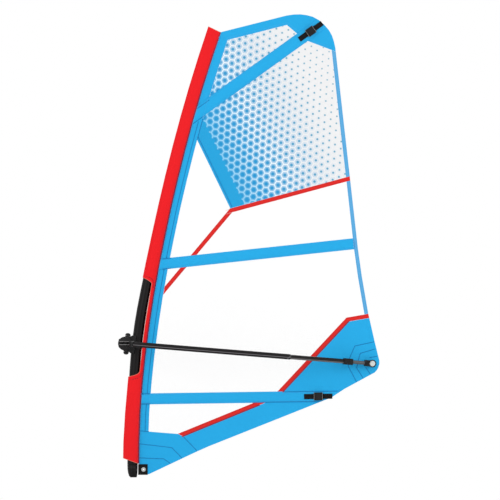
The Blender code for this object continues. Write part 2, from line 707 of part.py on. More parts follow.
def panel_outlines():
    """Each flat panel's outline, cut from the whole sail along the seams."""
    cloth = whole_sail(GAP, 0.0)
    field = whole_sail(LUFF_PANEL_WIDTH + GAP / 2, LEECH_TAPE_WIDTH + GAP / 2)
    upper = (JUNCTION, UPPER_TAPE_END)
    diagonal = (DIAGONAL_TAPE_END, JUNCTION)
    print_edge = (PRINT_EDGE_LOW, PRINT_EDGE_TOP)
    top, middle, lower = [(b[1], b[2]) for b in BATTENS]
    wide, narrow, plain = seam_half(TAPE_WIDE), seam_half(TAPE_NARROW), seam_half()
    luff = luff_seam(GAP)
    rear = luff_seam(LUFF_PANEL_WIDTH - GAP / 2)
    corner = line_meet((rear[-2], rear[-1]), (HEAD_EDGE[0], HEAD_EDGE[1]))
    head_edge = [corner] + list(HEAD_EDGE[1:])
    across = mast_frame(SLEEVE_TOP)[1]
    head_cut = (corner, (corner[0] - across.x, corner[1] - across.z))
    head_top = (HEAD_EDGE[0], HEAD_EDGE[1])
    head_side = (HEAD_EDGE[1], HEAD_EDGE[2])
    head_low = (HEAD_EDGE[3], HEAD_EDGE[4])
    clew_leech = (CLEW_TAPE[1], CLEW_TAPE[0])
    clew_foot = (CLEW_TAPE[2], CLEW_TAPE[1])

    panels = {}
    shape = clipped(field, top, least=plain)
    shape = clipped(shape, head_top, most=-plain)
    panels["upper_print_panel"] = clipped(shape, head_side, most=-plain)
    shape = clipped(field, top, most=-plain)
    shape = clipped(shape, head_low, most=-plain)
    shape = clipped(shape, print_edge, most=-plain)
    panels["print_panel"] = clipped(shape, upper, least=wide)
    shape = clipped(field, print_edge, least=plain)
    shape = clipped(shape, diagonal, least=narrow)
    panels["luff_window"] = clipped(shape, middle, least=plain)
    shape = clipped(field, diagonal, least=narrow)
    panels["small_window"] = clipped(shape, middle, most=-plain)
    shape = clipped(field, upper, most=-wide)
    shape = clipped(shape, diagonal, most=-narrow)
    panels["upper_window"] = clipped(shape, middle, least=plain)
    shape = clipped(field, middle, most=-plain)
    shape = clipped(shape, diagonal, most=-narrow)
    panels["main_window"] = clipped(shape, lower, least=plain)
    shape = clipped(cloth, clew_leech, most=-wide)
    shape = clipped(shape, clew_foot, most=-wide)
    panels["clew_panel"] = clipped(shape, lower, least=plain)
    shape = clipped(field, lower, most=-plain)
    shape = clipped(shape, FOOT_TAPE, least=narrow)
    panels["lower_window"] = clipped(shape, TACK_TOP, least=plain)
    shape = clipped(cloth, lower, most=-plain)
    shape = clipped(shape, FOOT_TAPE, most=-narrow)
    panels["foot_panel"] = clipped(shape, TACK_SEAM, least=plain)
    shape = clipped(cloth, TACK_TOP, most=-plain)
    shape = clipped(shape, TACK_CORNER, most=-plain)
    panels["tack_panel"] = clipped(shape, TACK_SEAM, most=-plain)

    shape = luff + rear[::-1]
    shape = clipped(shape, TACK_TOP, least=plain)
    panels["luff_panel"] = clipped(shape, head_cut, least=plain)
    leech = list(LEECH) + offset_line(LEECH, -(LEECH_TAPE_WIDTH - GAP / 2))[::-1]
    shape = clipped(leech, clew_leech, least=wide)
    panels["leech_tape"] = clipped(shape, head_low, most=-plain)
    edge = offset_line(head_edge, plain)
    start = line_meet((luff[-2], luff[-1]), head_cut)
    end = line_meet(LEECH[:2], edge[-2:])
    panels["head_panel"] = [start, luff[-1]] + list(HEAD) + [LEECH[0], end] + edge[:-1][::-1]

    strip = clipped(field, upper, least=-wide + GAP, most=wide - GAP)
    panels["upper_tape"] = clipped(strip, diagonal, most=narrow + TAPE_NARROW)
    strip = clipped(field, diagonal, least=-narrow + GAP, most=narrow - GAP)
    panels["diagonal_tape"] = clipped(strip, upper, most=-wide)
    strip = clipped(field, FOOT_TAPE, least=-narrow + GAP, most=narrow - GAP)
    strip = clipped(strip, lower, most=-plain)
    panels["foot_tape"] = clipped(strip, TACK_CORNER, least=plain)
    return panels


def clew_band(least, most):
    """The clew tape's outline, or a wider one with it inside, run on past both its ends."""
    line = [CLEW_TAPE[2], CLEW_TAPE[1], CLEW_TAPE[0]]
    first = (Vector(line[0]) - Vector(line[1])).normalized() * CLEW_TAPE_RUN_ON
    last = (Vector(line[2]) - Vector(line[1])).normalized() * CLEW_TAPE_RUN_ON
    line[0] = (line[0][0] + first.x, line[0][1] + first.y)
    line[2] = (line[2][0] + last.x, line[2][1] + last.y)
    return offset_line(line, most) + offset_line(line, least)[::-1]


def make_cloth():
    """The flat panels and tapes, edge to edge in one surface, then laid on the camber."""
    finishes = {"upper_print_panel": "printed_film", "print_panel": "printed_film",
                "clew_panel": "blue_cloth", "foot_panel": "blue_cloth", "tack_panel": "blue_cloth",
                "luff_panel": "blue_cloth", "head_panel": "blue_cloth", "leech_tape": "pale_blue_tape",
                "upper_tape": "red_cloth", "diagonal_tape": "red_cloth", "foot_tape": "red_cloth"}
    for name, outline in panel_outlines().items():
        bm = prism(outline, -CLOTH / 2, CLOTH / 2)
        if name == "main_window":
            beyond = [(CLEW_TAPE[0][0] + PAST, CLEW_TAPE[2][1] - PAST)]
            edge = clew_band(0.0, seam_half(TAPE_WIDE))[:3]
            bm = combined(bm, [prism(edge + beyond, -DEEP, DEEP)])
        if name == "upper_tape":
            corner = clipped(whole_sail(LUFF_PANEL_WIDTH, 0.0), (PRINT_EDGE_LOW, PRINT_EDGE_TOP), least=-GAP / 2)
            corner = clipped(corner, (DIAGONAL_TAPE_END, JUNCTION), least=TAPE_NARROW / 2 - GAP / 2)
            bm = combined(bm, [prism(corner, -DEEP, DEEP)])
        if name == "clew_panel":
            hole = rod(TOGGLE_RADIUS + RUN + EYELET_WALL + GAP, -DEEP, DEEP, 20, "y")
            bm = combined(bm, [moved(hole, (CLEW[0], 0.0, CLEW[1]))])
        if name == "tack_panel":
            corner = (TACK_PATCH_LOW[0] + TACK_PATCH_FOLD + GAP, DEEP,
                      TACK_PATCH_LOW[1] + TACK_PATCH_SIZE[1] + GAP)
            bm = combined(bm, [block((-PAST, -DEEP, -PAST), corner)])
            hole = rod(TACK_EYELET_BORE + EYELET_WALL + GAP, -DEEP, DEEP, 12, "y")
            bm = combined(bm, [moved(hole, (TACK_EYELET[0], 0.0, TACK_EYELET[1]))])
        piece(name, draped(bm), finishes.get(name, "clear_film"))

    half = TAPE_WIDE / 2 - GAP / 2
    lower = (BATTENS[2][1], BATTENS[2][2])
    band = clipped(clew_band(-half, half), lower, least=seam_half())
    for a, b in zip(LEECH, LEECH[1:]):
        if a[1] > CLEW_TAPE[0][1] >= b[1]:
            band = clipped(band, (a, b), most=0.0)
    piece("clew_tape", draped(prism(band, -CLOTH / 2, CLOTH / 2)), "red_cloth")


def along_line(line, point):
    """How far along a line a point lies from its start."""
    run = Vector(line[1]) - Vector(line[0])
    return (Vector(point) - Vector(line[0])).dot(run.normalized())


def pocket_base():
    return -(CLOTH / 2 + GAP)


def make_battens():
    """A crowned pocket sewn to the port side for each batten, and the batten in it."""
    for name, start, end, width in BATTENS:
        line = (start, end)
        outline = clipped(whole_sail(GAP, 0.0), line, least=-width / 2, most=width / 2)
        if name == "middle":
            reach = offset_line(LEECH, -LEECH_TAPE_WIDTH)
            stop = [p for p in zip(reach, reach[1:]) if p[0][1] > end[1] >= p[1][1]][0]
            outline = clipped(outline, stop, most=0.0)
        base = pocket_base()
        bm = prism(outline, base - POCKET_HEM, base)
        normal = Vector((-(end[1] - start[1]), 0.0, end[0] - start[0])).normalized()
        shoulder = POCKET_CROWN_HALF + POCKET_SHOULDER
        for away in (-shoulder, -POCKET_CROWN_HALF, POCKET_CROWN_HALF, shoulder):
            geom = list(bm.verts) + list(bm.edges) + list(bm.faces)
            co = Vector((start[0], 0.0, start[1])) + normal * away
            bmesh.ops.bisect_plane(bm, geom=geom, dist=1e-7, plane_co=co, plane_no=normal)
        for vert in bm.verts:
            away = abs(side_of((vert.co.x, vert.co.z), line))
            rise = min(max((shoulder - away) / POCKET_SHOULDER, 0.0), 1.0)
            if vert.co.y < base - POCKET_HEM / 2:
                vert.co.y -= (POCKET_HEIGHT - POCKET_HEM) * rise
        half = BATTEN_WIDTH / 2 + RUN
        slot_low = base - POCKET_HEM
        slot_high = slot_low - BATTEN_THICKNESS - 2 * RUN
        inside = clipped(outline, line, least=-half, most=half)
        near = max(0.0, min(along_line(line, p) for p in inside)) + BATTEN_END_MARGIN
        far = max(along_line(line, p) for p in inside) + 0.05
        cavity = strip_outline(line, near, far, half)
        bm = combined(bm, [prism(cavity, slot_high, slot_low)])
        piece(f"{name}_batten_pocket", draped(bm), "blue_cloth", smooth=25)

        mouth = min(along_line(line, p) for p in inside if along_line(line, p) > near + 0.1)
        rod_outline = strip_outline(line, near + 2 * RUN, mouth - RUN, BATTEN_WIDTH / 2)
        strip = prism(rod_outline, slot_high + RUN, slot_low - RUN)
        piece(f"{name}_batten", draped(strip), "batten_glass")


def strip_outline(line, near, far, half):
    """A straight strip round a line, from one distance along it to another."""
    run = (Vector(line[1]) - Vector(line[0])).normalized()
    side = Vector((-run.y, run.x))
    origin = Vector(line[0])
    corners = [origin + run * near - side * half, origin + run * far - side * half,
               origin + run * far + side * half, origin + run * near + side * half]
    return [(c.x, c.y) for c in corners]


def make_tensioners():
    """Strap, buckle and cam on the leech end of the top and the lower batten."""
    for name, centre in TENSIONERS:
        start, end = [(b[1], b[2]) for b in BATTENS if b[0] == name][0]
        line = (start, end)
        middle = along_line(line, centre)
        top = pocket_base() - POCKET_HEIGHT - GAP

        def bar(reach, half, low, high, shift=0.0):
            outline = strip_outline(line, middle + shift - reach, middle + shift + reach, half)
            return prism(outline, top - high, top - low)

        strap = bar(STRAP_LENGTH / 2, STRAP_WIDTH / 2, 0.0, STRAP_THICKNESS)
        piece(f"{name}_tensioner_strap", draped(strap), "black_webbing")

        frame = bar(BUCKLE_LENGTH / 2, BUCKLE_WIDTH / 2, 0.0, BUCKLE_HEIGHT)
        tunnel = bar(BUCKLE_LENGTH, STRAP_WIDTH / 2 + RUN, -0.001, STRAP_THICKNESS + RUN)
        rail_half = BUCKLE_WIDTH / 2 - BUCKLE_LIP
        well = bar(BUCKLE_LENGTH / 2 - BUCKLE_LIP, rail_half, BUCKLE_FLOOR, BUCKLE_HEIGHT + 0.002)
        buckle = combined(frame, [tunnel, well])
        piece(f"{name}_tensioner_buckle", draped(buckle), "black_plastic")

        hinge_at = middle - BUCKLE_LENGTH / 2 + BUCKLE_LIP + 2 * RUN + CAM_RADIUS
        run = (Vector(end) - Vector(start)).normalized()
        hinge = Vector(start) + run * hinge_at
        depth = top - BUCKLE_FLOOR - 2 * RUN - CAM_RADIUS
        cam = make_cam(rail_half - RUN)
        lean = math.atan2(run.y, run.x)
        slope = draft_slope(hinge, run)
        place = (hinge.x, depth + draft_at(hinge.x, hinge.y), hinge.y)
        turn = Matrix.Rotation(-lean, 4, "Y") @ Matrix.Rotation(slope, 4, "Z")
        made = piece(f"{name}_tensioner_cam", cam, "black_plastic", location=place, smooth=40)
        made.rotation_euler = turn.to_euler()


def draft_slope(point, run):
    """The camber's slope along a direction in the sail, as an angle."""
    step = 0.012
    ahead = (point[0] + run.x * step, point[1] + run.y * step)
    return math.atan2(draft_at(*ahead) - draft_at(point[0], point[1]), step)


def make_cam(half):
    """The cam about its hinge: a barrel with a flat lever lying along the strap."""
    barrel = rod(CAM_RADIUS, -half, half, 12)
    low = -CAM_RADIUS
    lever = block((0.0, low, -half), (CAM_LENGTH, low + CAM_THICKNESS, half))
    bevel_edges(lever, 0.0007, 1, along="z")
    return combined(barrel, [lever], "UNION")


def make_hardware():
    """Tack patch, the two eyelets and the clew toggle."""
    low_x, low_z = TACK_PATCH_LOW
    size_x, size_z = TACK_PATCH_SIZE
    deep = CLOTH / 2 + GAP + TACK_PATCH_WALL
    patch = block((low_x, -deep, low_z), (low_x + size_x, deep, low_z + size_z))
    bevel_edges(patch, 0.0006, 1, along="y")
    fold = FOOT[-1][1] - GAP
    slot = block((low_x + TACK_PATCH_FOLD, -CLOTH / 2 - GAP, fold), (0.2, CLOTH / 2 + GAP, 0.2))
    hole = rod(TACK_EYELET_BORE + EYELET_WALL + GAP, -DEEP, DEEP, 12, "y")
    bm = combined(patch, [slot, moved(hole, (TACK_EYELET[0], 0.0, TACK_EYELET[1]))])
    piece("tack_patch", bm, "black_webbing")

    grommet(TACK_EYELET_BORE, TACK_EYELET_RADIUS, deep, "tack_eyelet", TACK_EYELET, "steel", 16)
    grommet(TOGGLE_RADIUS + RUN, CLEW_EYELET_RADIUS, CLOTH / 2, "clew_eyelet", CLEW, "black_plastic", 24)

    end = TOGGLE_HALF - 0.0012
    profile = ((0.0, -TOGGLE_HALF), (TOGGLE_RADIUS - 0.0012, -TOGGLE_HALF), (TOGGLE_RADIUS, -end),
               (TOGGLE_RADIUS, end), (TOGGLE_RADIUS - 0.0012, TOGGLE_HALF), (0.0, TOGGLE_HALF))
    piece("clew_toggle", turned(profile, 24, "y"), "steel", location=(CLEW[0], 0.0, CLEW[1]), smooth=35)


def grommet(bore, radius, half, name, centre, finish, sides):
    """A ring through the cloth with a flange on each face."""
    grip = half + GAP
    full = grip + EYELET_FLANGE
    wall = bore + EYELET_WALL
    profile = ((bore, -full), (radius - 0.0006, -full), (radius, -full + 0.0006), (radius, -grip),
               (wall, -grip), (wall, grip), (radius, grip), (radius, full - 0.0006),
               (radius - 0.0006, full), (bore, full))
    piece(name, turned(profile, sides, "y"), finish, location=(centre[0], 0.0, centre[1]), smooth=35)


# The boom


def tangent_loop(small, large, apart, steps=10):
    """A band's outline of (x, y): a large arc round the origin, a small one ahead, straight sides."""
    lean = math.acos(-(large - small) / apart)
    points = []
    for k in range(2 * steps + 1):
        turn = lean - 2 * lean * k / (2 * steps)
        points.append((large * math.cos(turn), large * math.sin(turn)))
    for k in range(steps + 1):
        turn = -lean - 2 * (math.pi - lean) * k / steps
        points.append((-apart + small * math.cos(turn), small * math.sin(turn)))
    return points


def make_boom_head(frame):
    """The moulded head, in the mast's axes: cradle, band window, pin bore, lever ears, bolt holes."""
    front = -(HUB_AHEAD + HEAD_FRONT)
    behind_disc = HUB_RADIUS * 0.98
    above = [(front, behind_disc * 0.72), (-HUB_AHEAD - behind_disc * 0.25, behind_disc * 0.95),
             (-PIN_AHEAD - NUB_RADIUS, behind_disc * 0.98), (-PIN_AHEAD - NUB_RADIUS, HEAD_HALF_HEIGHT),
             (-PIN_AHEAD + NUB_RADIUS + HEAD_BEVEL, HEAD_HALF_HEIGHT),
             (-PIN_AHEAD + NUB_RADIUS + 3 * HEAD_BEVEL, HEAD_REAR_HALF_HEIGHT),
             (-HEAD_REAR, HEAD_REAR_HALF_HEIGHT)]
    outline = [(x, -z) for x, z in above] + above[::-1]
    body = prism(outline, -HEAD_HALF_WIDTH, HEAD_HALF_WIDTH)
    bevel_edges(body, HEAD_BEVEL, 2)
    for sign in (-1, 1):
        inner = LEVER_HALF_WIDTH + RUN
        ear = rod(EAR_RADIUS, inner, inner + EAR_THICKNESS, 16, "y")
        if sign < 0:
            ear = rod(EAR_RADIUS, -inner - EAR_THICKNESS, -inner, 16, "y")
        moved(ear, (-LEVER_AHEAD, 0.0, LEVER_UP))
        low, high = sorted((sign * inner, sign * (inner + EAR_THICKNESS)))
        root = block((-LEVER_AHEAD, low, LEVER_UP - EAR_RADIUS), (front + 0.006, high, LEVER_UP + EAR_RADIUS))
        body = combined(body, [ear, root], "UNION")
    tools = [rod(MAST_RADIUS + MAST_RUN, -0.1, 0.1, MAST_SIDES * 2)]
    clear = BAND_THICKNESS + 2 * RUN
    small, large = PIN_RADIUS + RUN, MAST_RADIUS + MAST_RUN
    for shift in (0.0, BAND_SLACK):
        loop = tangent_loop(small + clear, large + clear, PIN_AHEAD)
        band = prism(loop, -BAND_HALF_HEIGHT - RUN, BAND_HALF_HEIGHT + RUN, "z")
        tools.append(moved(band, (shift, 0.0, 0.0)))
    bore = [(-PIN_AHEAD + x, y) for x, y in slot_outline(PIN_RADIUS + RUN, BAND_SLACK)]
    tools.append(prism(bore, -0.06, 0.06, "z"))
    tools.append(moved(rod(LEVER_AXLE + RUN, -0.06, 0.06, 12, "y"), (-LEVER_AHEAD, 0.0, LEVER_UP)))
    for sign in (-1, 1):
        low, high = sorted((sign * (BOLT_END - GAP), sign * 0.06))
        tools.append(moved(rod(BOLT_RADIUS + GAP, low, high, 16, "y"), (-HUB_AHEAD, 0.0, 0.0)))
    piece("boom_head", combined(body, tools), "black_plastic", parent=frame, smooth=35)


def slot_outline(radius, length, steps=8):
    """A round-ended slot from the origin aft."""
    points = []
    for k in range(steps + 1):
        turn = math.pi / 2 + math.pi * k / steps
        points.append((radius * math.cos(turn), radius * math.sin(turn)))
    for k in range(steps + 1):
        turn = -math.pi / 2 + math.pi * k / steps
        points.append((length + radius * math.cos(turn), radius * math.sin(turn)))
    return points


def make_clamp(frame):
    """The band round the mast's rear and the pin, the pin with its domed nubs, and the lever."""
    small, large = PIN_RADIUS + RUN, MAST_RADIUS + MAST_RUN
    outer = tangent_loop(small + BAND_THICKNESS, large + BAND_THICKNESS, PIN_AHEAD)
    inner = tangent_loop(small, large, PIN_AHEAD)
    band = ring_prism(outer, inner, -BAND_HALF_HEIGHT, BAND_HALF_HEIGHT)
    piece("clamp_band", band, "black_plastic", parent=frame, smooth=35)

    seat = HEAD_HALF_HEIGHT + GAP
    crown = seat + NUB_HEIGHT
    profile = [(0.0, -crown), (NUB_RADIUS * 0.55, -crown + NUB_HEIGHT * 0.08),
               (NUB_RADIUS * 0.90, -crown + NUB_HEIGHT * 0.40), (NUB_RADIUS, -seat - NUB_HEIGHT * 0.25),
               (NUB_RADIUS, -seat), (PIN_RADIUS, -seat)]
    profile += [(radius, -height) for radius, height in reversed(profile)]
    piece("tension_pin", turned(profile, 16), "black_plastic", location=(-PIN_AHEAD, 0.0, 0.0),
          parent=frame, smooth=35)

    axis = empty("clamp_lever_axis", (-LEVER_AHEAD, 0.0, LEVER_UP), parent=frame)
    reach = LEVER_HALF_WIDTH + RUN + EAR_THICKNESS
    barrel = rod(LEVER_BARREL, -LEVER_HALF_WIDTH, LEVER_HALF_WIDTH, 16, "y")
    axle = rod(LEVER_AXLE, -reach, reach, 12, "y")
    blade = [(LEVER_BARREL * 0.85, 0.0), (LEVER_BARREL * 0.80, -LEVER_LENGTH + 0.004),
             (LEVER_BARREL * 0.2, -LEVER_LENGTH), (-LEVER_BARREL * 0.75, -LEVER_LENGTH + 0.003),
             (-LEVER_BARREL * 0.2, -LEVER_LENGTH * 0.55), (-LEVER_BARREL * 0.8, 0.0)]
    plate = prism(blade, -LEVER_HALF_WIDTH, LEVER_HALF_WIDTH)
    lever = combined(barrel, [axle, plate], "UNION")
    piece("clamp_lever", lever, "black_plastic", parent=axis, smooth=35)


def arm_line():
    """The arm's middle line in the boom's axes for the side of +y, and each point's direction."""
    boom_length = boom_run()[0]
    tail = math.radians(TAIL_ANGLE)
    rear_x = boom_length - ARM_END_BACK
    rear_y = TAIL_SIDE + ARM_END_BACK * math.tan(tail)
    joint = (ARM_STRAIGHT_FROM, rear_y + (rear_x - ARM_STRAIGHT_FROM) * math.tan(tail))
    pull = ARM_STRAIGHT_FROM * 0.36
    control = (joint[0] - pull, joint[1] + pull * math.tan(tail))
    leave = math.radians(ARM_LEAVE)
    socket = HUB_SOCKET_DEPTH + RUN
    first = (ARM_START[0] + socket * math.cos(leave), ARM_START[1] + socket * math.sin(leave))
    bow = (first[0] + ARM_BOW_PULL * math.cos(leave), first[1] + ARM_BOW_PULL * math.sin(leave))
    points = [(ARM_START[0], ARM_START[1], leave)]
    for k in range(ARM_STEPS + 1):
        t = k / ARM_STEPS
        weights = ((1 - t) ** 3, 3 * t * (1 - t) ** 2, 3 * t * t * (1 - t), t ** 3)
        ends = (first, bow, control, joint)
        slopes = ((1 - t) ** 2, 2 * t * (1 - t), t * t)
        x = sum(w * p[0] for w, p in zip(weights, ends))
        y = sum(w * p[1] for w, p in zip(weights, ends))
        dx = sum(w * (q[0] - p[0]) for w, p, q in zip(slopes, ends, ends[1:]))
        dy = sum(w * (q[1] - p[1]) for w, p, q in zip(slopes, ends, ends[1:]))
        points.append((x, y, math.atan2(dy, dx)))
    points.append((rear_x, rear_y, -tail))
    return points


def boom_run():
    """Length from the hub's axis to the toggle's, the hub's place, and the slope down aft."""
    point, aft, _ = mast_frame(BOOM_STATION)
    hub = point - aft * HUB_AHEAD
    run = Vector((CLEW[0], 0.0, CLEW[1])) - hub
    return run.length, hub, math.atan2(-run.z, run.x)


def swept(line, radius, side):
    """Rings of a radius round a line of (x, y, direction) in the boom's axes."""
    rings = []
    for x, y, turn in line:
        across = Vector((-math.sin(turn), math.cos(turn), 0.0))
        ring = []
        for k in range(ARM_SIDES):
            angle = 2 * math.pi * k / ARM_SIDES
            point = Vector((x, y, 0.0)) + across * (radius * math.cos(angle))
            point.z = radius * math.sin(angle)
            point.y *= side
            ring.append(point)
        rings.append(ring)
    return rings


def cut_line(line, stop):
    """The first part of the arm's line, up to a distance aft."""
    kept = [p for p in line if p[0] < stop - 0.01]
    after = line[len(kept)]
    before = kept[-1]
    share = (stop - before[0]) / (after[0] - before[0])
    kept.append(tuple(a + (b - a) * share for a, b in zip(before, after)))
    return kept


def make_arms(frame):
    """For each side a hub on its bolt, the bent tube in the hub's socket, and the foam grip."""
    line = arm_line()
    for name, side in SIDES:
        outer = swept(line, ARM_RADIUS, side)
        inner = swept(line, ARM_RADIUS - ARM_WALL, side)
        piece(f"{name}_arm", shell(outer, inner), "carbon_black", parent=frame, smooth=40)

        grip = cut_line(line, GRIP_END)[1:]
        inner = swept(grip, ARM_RADIUS + GAP, side)
        outer = swept(grip, ARM_RADIUS + GAP + GRIP_WALL, side)
        piece(f"{name}_grip", shell(outer, inner), "grip_foam", parent=frame, smooth=40)
        make_hub(name, side, frame, line[0])


def make_hub(name, side, frame, start):
    """The disc that turns on the head's bolt, grooved across its face, with the tube's socket."""
    outer = HUB_INNER + HUB_THICKNESS
    edge = 0.0022
    profile = ((0.0, HUB_INNER), (HUB_RADIUS - edge / 2, HUB_INNER), (HUB_RADIUS, HUB_INNER + edge / 2),
               (HUB_RADIUS, outer - edge), (HUB_RADIUS - edge * 0.4, outer - edge * 0.4),
               (HUB_RADIUS - edge, outer), (0.0, outer))
    disc = turned([(r, side * h) for r, h in profile], 28, "y")
    turn = math.degrees(start[2])
    socket = rod(ARM_RADIUS + GAP + HUB_SOCKET_WALL, -0.016, HUB_SOCKET_DEPTH, 20, "x")
    turned_by(socket, side * turn, "Z")
    moved(socket, (start[0], side * start[1], 0.0))
    bore = rod(ARM_RADIUS + GAP, -GAP, HUB_SOCKET_DEPTH + 0.03, 20, "x")
    turned_by(bore, side * turn, "Z")
    moved(bore, (start[0], side * start[1], 0.0))
    body = combined(disc, [socket], "UNION")
    low, high = sorted((side * (outer - HUB_GROOVE / 2), side * (outer + 0.01)))
    groove = block((-HUB_RADIUS * 0.62, low, -HUB_GROOVE / 2), (HUB_RADIUS * 0.40, high, HUB_GROOVE / 2))
    low, high = sorted((side * (outer - BOLT_HEAD_HEIGHT - GAP), side * (outer + 0.05)))
    sink = rod(BOLT_HEAD_RADIUS + RUN, low, high, 20, "y")
    low, high = sorted((0.0, side * 0.06))
    hole = rod(BOLT_RADIUS + RUN, low, high, 16, "y")
    tools = [bore, groove, sink, hole]
    inner_low, inner_high = sorted((side * -0.02, side * HUB_INNER))
    tools.append(block((-0.06, inner_low, -0.05), (0.10, inner_high, 0.05)))
    piece(f"{name}_hub", combined(body, tools), "black_plastic", parent=frame, smooth=35)


def make_bolts(frame, lean):
    """The two short bolts that the hubs turn on, their slots in line with the hubs' grooves."""
    outer = HUB_INNER + HUB_THICKNESS
    head_low = outer - BOLT_HEAD_HEIGHT
    for name, side in SIDES:
        profile = ((0.0, BOLT_END), (BOLT_RADIUS - 0.0005, BOLT_END), (BOLT_RADIUS, BOLT_END + 0.0008),
                   (BOLT_RADIUS, head_low), (BOLT_HEAD_RADIUS, head_low),
                   (BOLT_HEAD_RADIUS, outer - 0.0008), (BOLT_HEAD_RADIUS - 0.0010, outer), (0.0, outer))
        bolt = turned([(r, side * h) for r, h in profile], 16, "y")
        low, high = sorted((side * (outer - HUB_GROOVE / 2), side * (outer + DEEP)))
        reach = BOLT_HEAD_RADIUS + DEEP
        slot = block((-reach, low, -HUB_GROOVE / 2), (reach, high, HUB_GROOVE / 2))
        piece(f"{name}_pivot_bolt", combined(bolt, [slot]), "black_steel", location=(-HUB_AHEAD, 0.0, 0.0),
              rotation=(0.0, lean, 0.0), parent=frame, smooth=35)


def make_tails(frame):
    """For each side the tail tube in the arm, its clip with a lever, and the cup at the toggle."""
    boom_length = boom_run()[0]
    tail = math.radians(TAIL_ANGLE)
    for name, side in SIDES:
        place = (boom_length, side * TAIL_SIDE, 0.0)
        turn = (0.0, 0.0, -side * tail)
        axis = empty(f"{name}_tail_axis", place, turn, frame)
        arm_end = -ARM_END_BACK / math.cos(tail)

        front = arm_end - TAIL_LAP
        rear = -FITTING_REACH - FITTING_LENGTH * 0.45
        tube_outer = [[Vector((x, TAIL_RADIUS * math.cos(2 * math.pi * k / 16),
                               TAIL_RADIUS * math.sin(2 * math.pi * k / 16))) for k in range(16)]
                      for x in (front, rear)]
        bore = TAIL_RADIUS - TAIL_WALL
        tube_inner = [[Vector((x, bore * math.cos(2 * math.pi * k / 16),
                               bore * math.sin(2 * math.pi * k / 16))) for k in range(16)]
                      for x in (front, rear)]
        piece(f"{name}_tail_tube", shell(tube_outer, tube_inner), "grey_tube", parent=axis, smooth=40)

        cup = block((-FITTING_REACH - FITTING_LENGTH, -FITTING_HALF_WIDTH, -FITTING_HALF_HEIGHT),
                    (-FITTING_REACH + 0.002, FITTING_HALF_WIDTH, FITTING_HALF_HEIGHT))
        bevel_edges(cup, 0.0024, 2, along="x")
        toggle = rod(TOGGLE_RADIUS + SEAT, -0.08, 0.08, 32, "y")
        turned_by(toggle, side * TAIL_ANGLE, "Z")
        moved(toggle, Matrix.Rotation(side * tail, 3, "Z") @ Vector((0.0, -side * TAIL_SIDE, 0.0)))
        end = rear + GAP
        hole = rod(TAIL_RADIUS + GAP, -FITTING_REACH - FITTING_LENGTH - 0.01, end, 16, "x")
        piece(f"{name}_tail_fitting", combined(cup, [toggle, hole]), "black_plastic", parent=axis, smooth=35)
        make_clip(name, side, axis, arm_end)


def make_clip(name, side, axis, arm_end):
    """The collar on the arm tube's end that pinches the tail tube, and its lever."""
    low = arm_end - CLIP_LENGTH * CLIP_SPLIT
    high = low + CLIP_LENGTH
    body = block((low, -CLIP_HALF_WIDTH, -CLIP_HALF_HEIGHT), (high, CLIP_HALF_WIDTH, CLIP_HALF_HEIGHT))
    bevel_edges(body, 0.0030, 2, along="x")
    arm_hole = rod(ARM_RADIUS + GAP, low - 0.01, arm_end + GAP, 16, "x")
    tail_hole = rod(TAIL_RADIUS + RUN, arm_end - 0.01, high + 0.01, 16, "x")
    outside = side * CLIP_HALF_WIDTH
    slot_low, slot_high = sorted((outside - side * 0.0012, outside + side * 0.02))
    kerf = block((arm_end + 0.004, slot_low, -0.0008), (high + 0.01, slot_high, 0.0008))
    piece(f"{name}_tail_clip", combined(body, [arm_hole, tail_hole, kerf]), "black_plastic",
          parent=axis, smooth=35)

    hinge_x = low + 0.0045
    hinge_y = outside + side * (GAP + CLIP_LEVER_THICKNESS / 2)
    hinge = empty(f"{name}_clip_lever_axis", (hinge_x, hinge_y, 0.0), parent=axis)
    half = CLIP_HALF_HEIGHT * 0.72
    barrel = rod(CLIP_LEVER_THICKNESS / 2, -half, half, 12)
    edge = CLIP_LEVER_THICKNESS / 2
    blade = block((0.0, -edge, -half), (CLIP_LEVER_LENGTH, edge, half))
    bevel_edges(blade, 0.0008, 1, along="z")
    lever = combined(barrel, [blade], "UNION")
    piece(f"{name}_clip_lever", lever, "black_plastic", parent=hinge, smooth=35)


def make_boom():
    """The boom, hung on frames whose origins lie on its joints' axes."""
    point, aft, _ = mast_frame(BOOM_STATION)
    tilt = mast_at(BOOM_STATION)[1]
    _, _, slope = boom_run()
    head = empty("boom_head_frame", point, (0.0, tilt, 0.0))
    make_boom_head(head)
    make_clamp(head)
    make_bolts(head, slope - tilt)
    arms = empty("boom_axis", (-HUB_AHEAD, 0.0, 0.0), (0.0, slope - tilt, 0.0), head)
    make_arms(arms)
    make_tails(arms)


def main():
    clear_scene()
    make_mast()
    make_sleeve()
    make_cloth()
    make_battens()
    make_tensioners()
    make_hardware()
    make_boom()


main()
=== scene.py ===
import json
import math

import bmesh
import bpy
from mathutils import Matrix, Vector
from mathutils.bvhtree import BVHTree


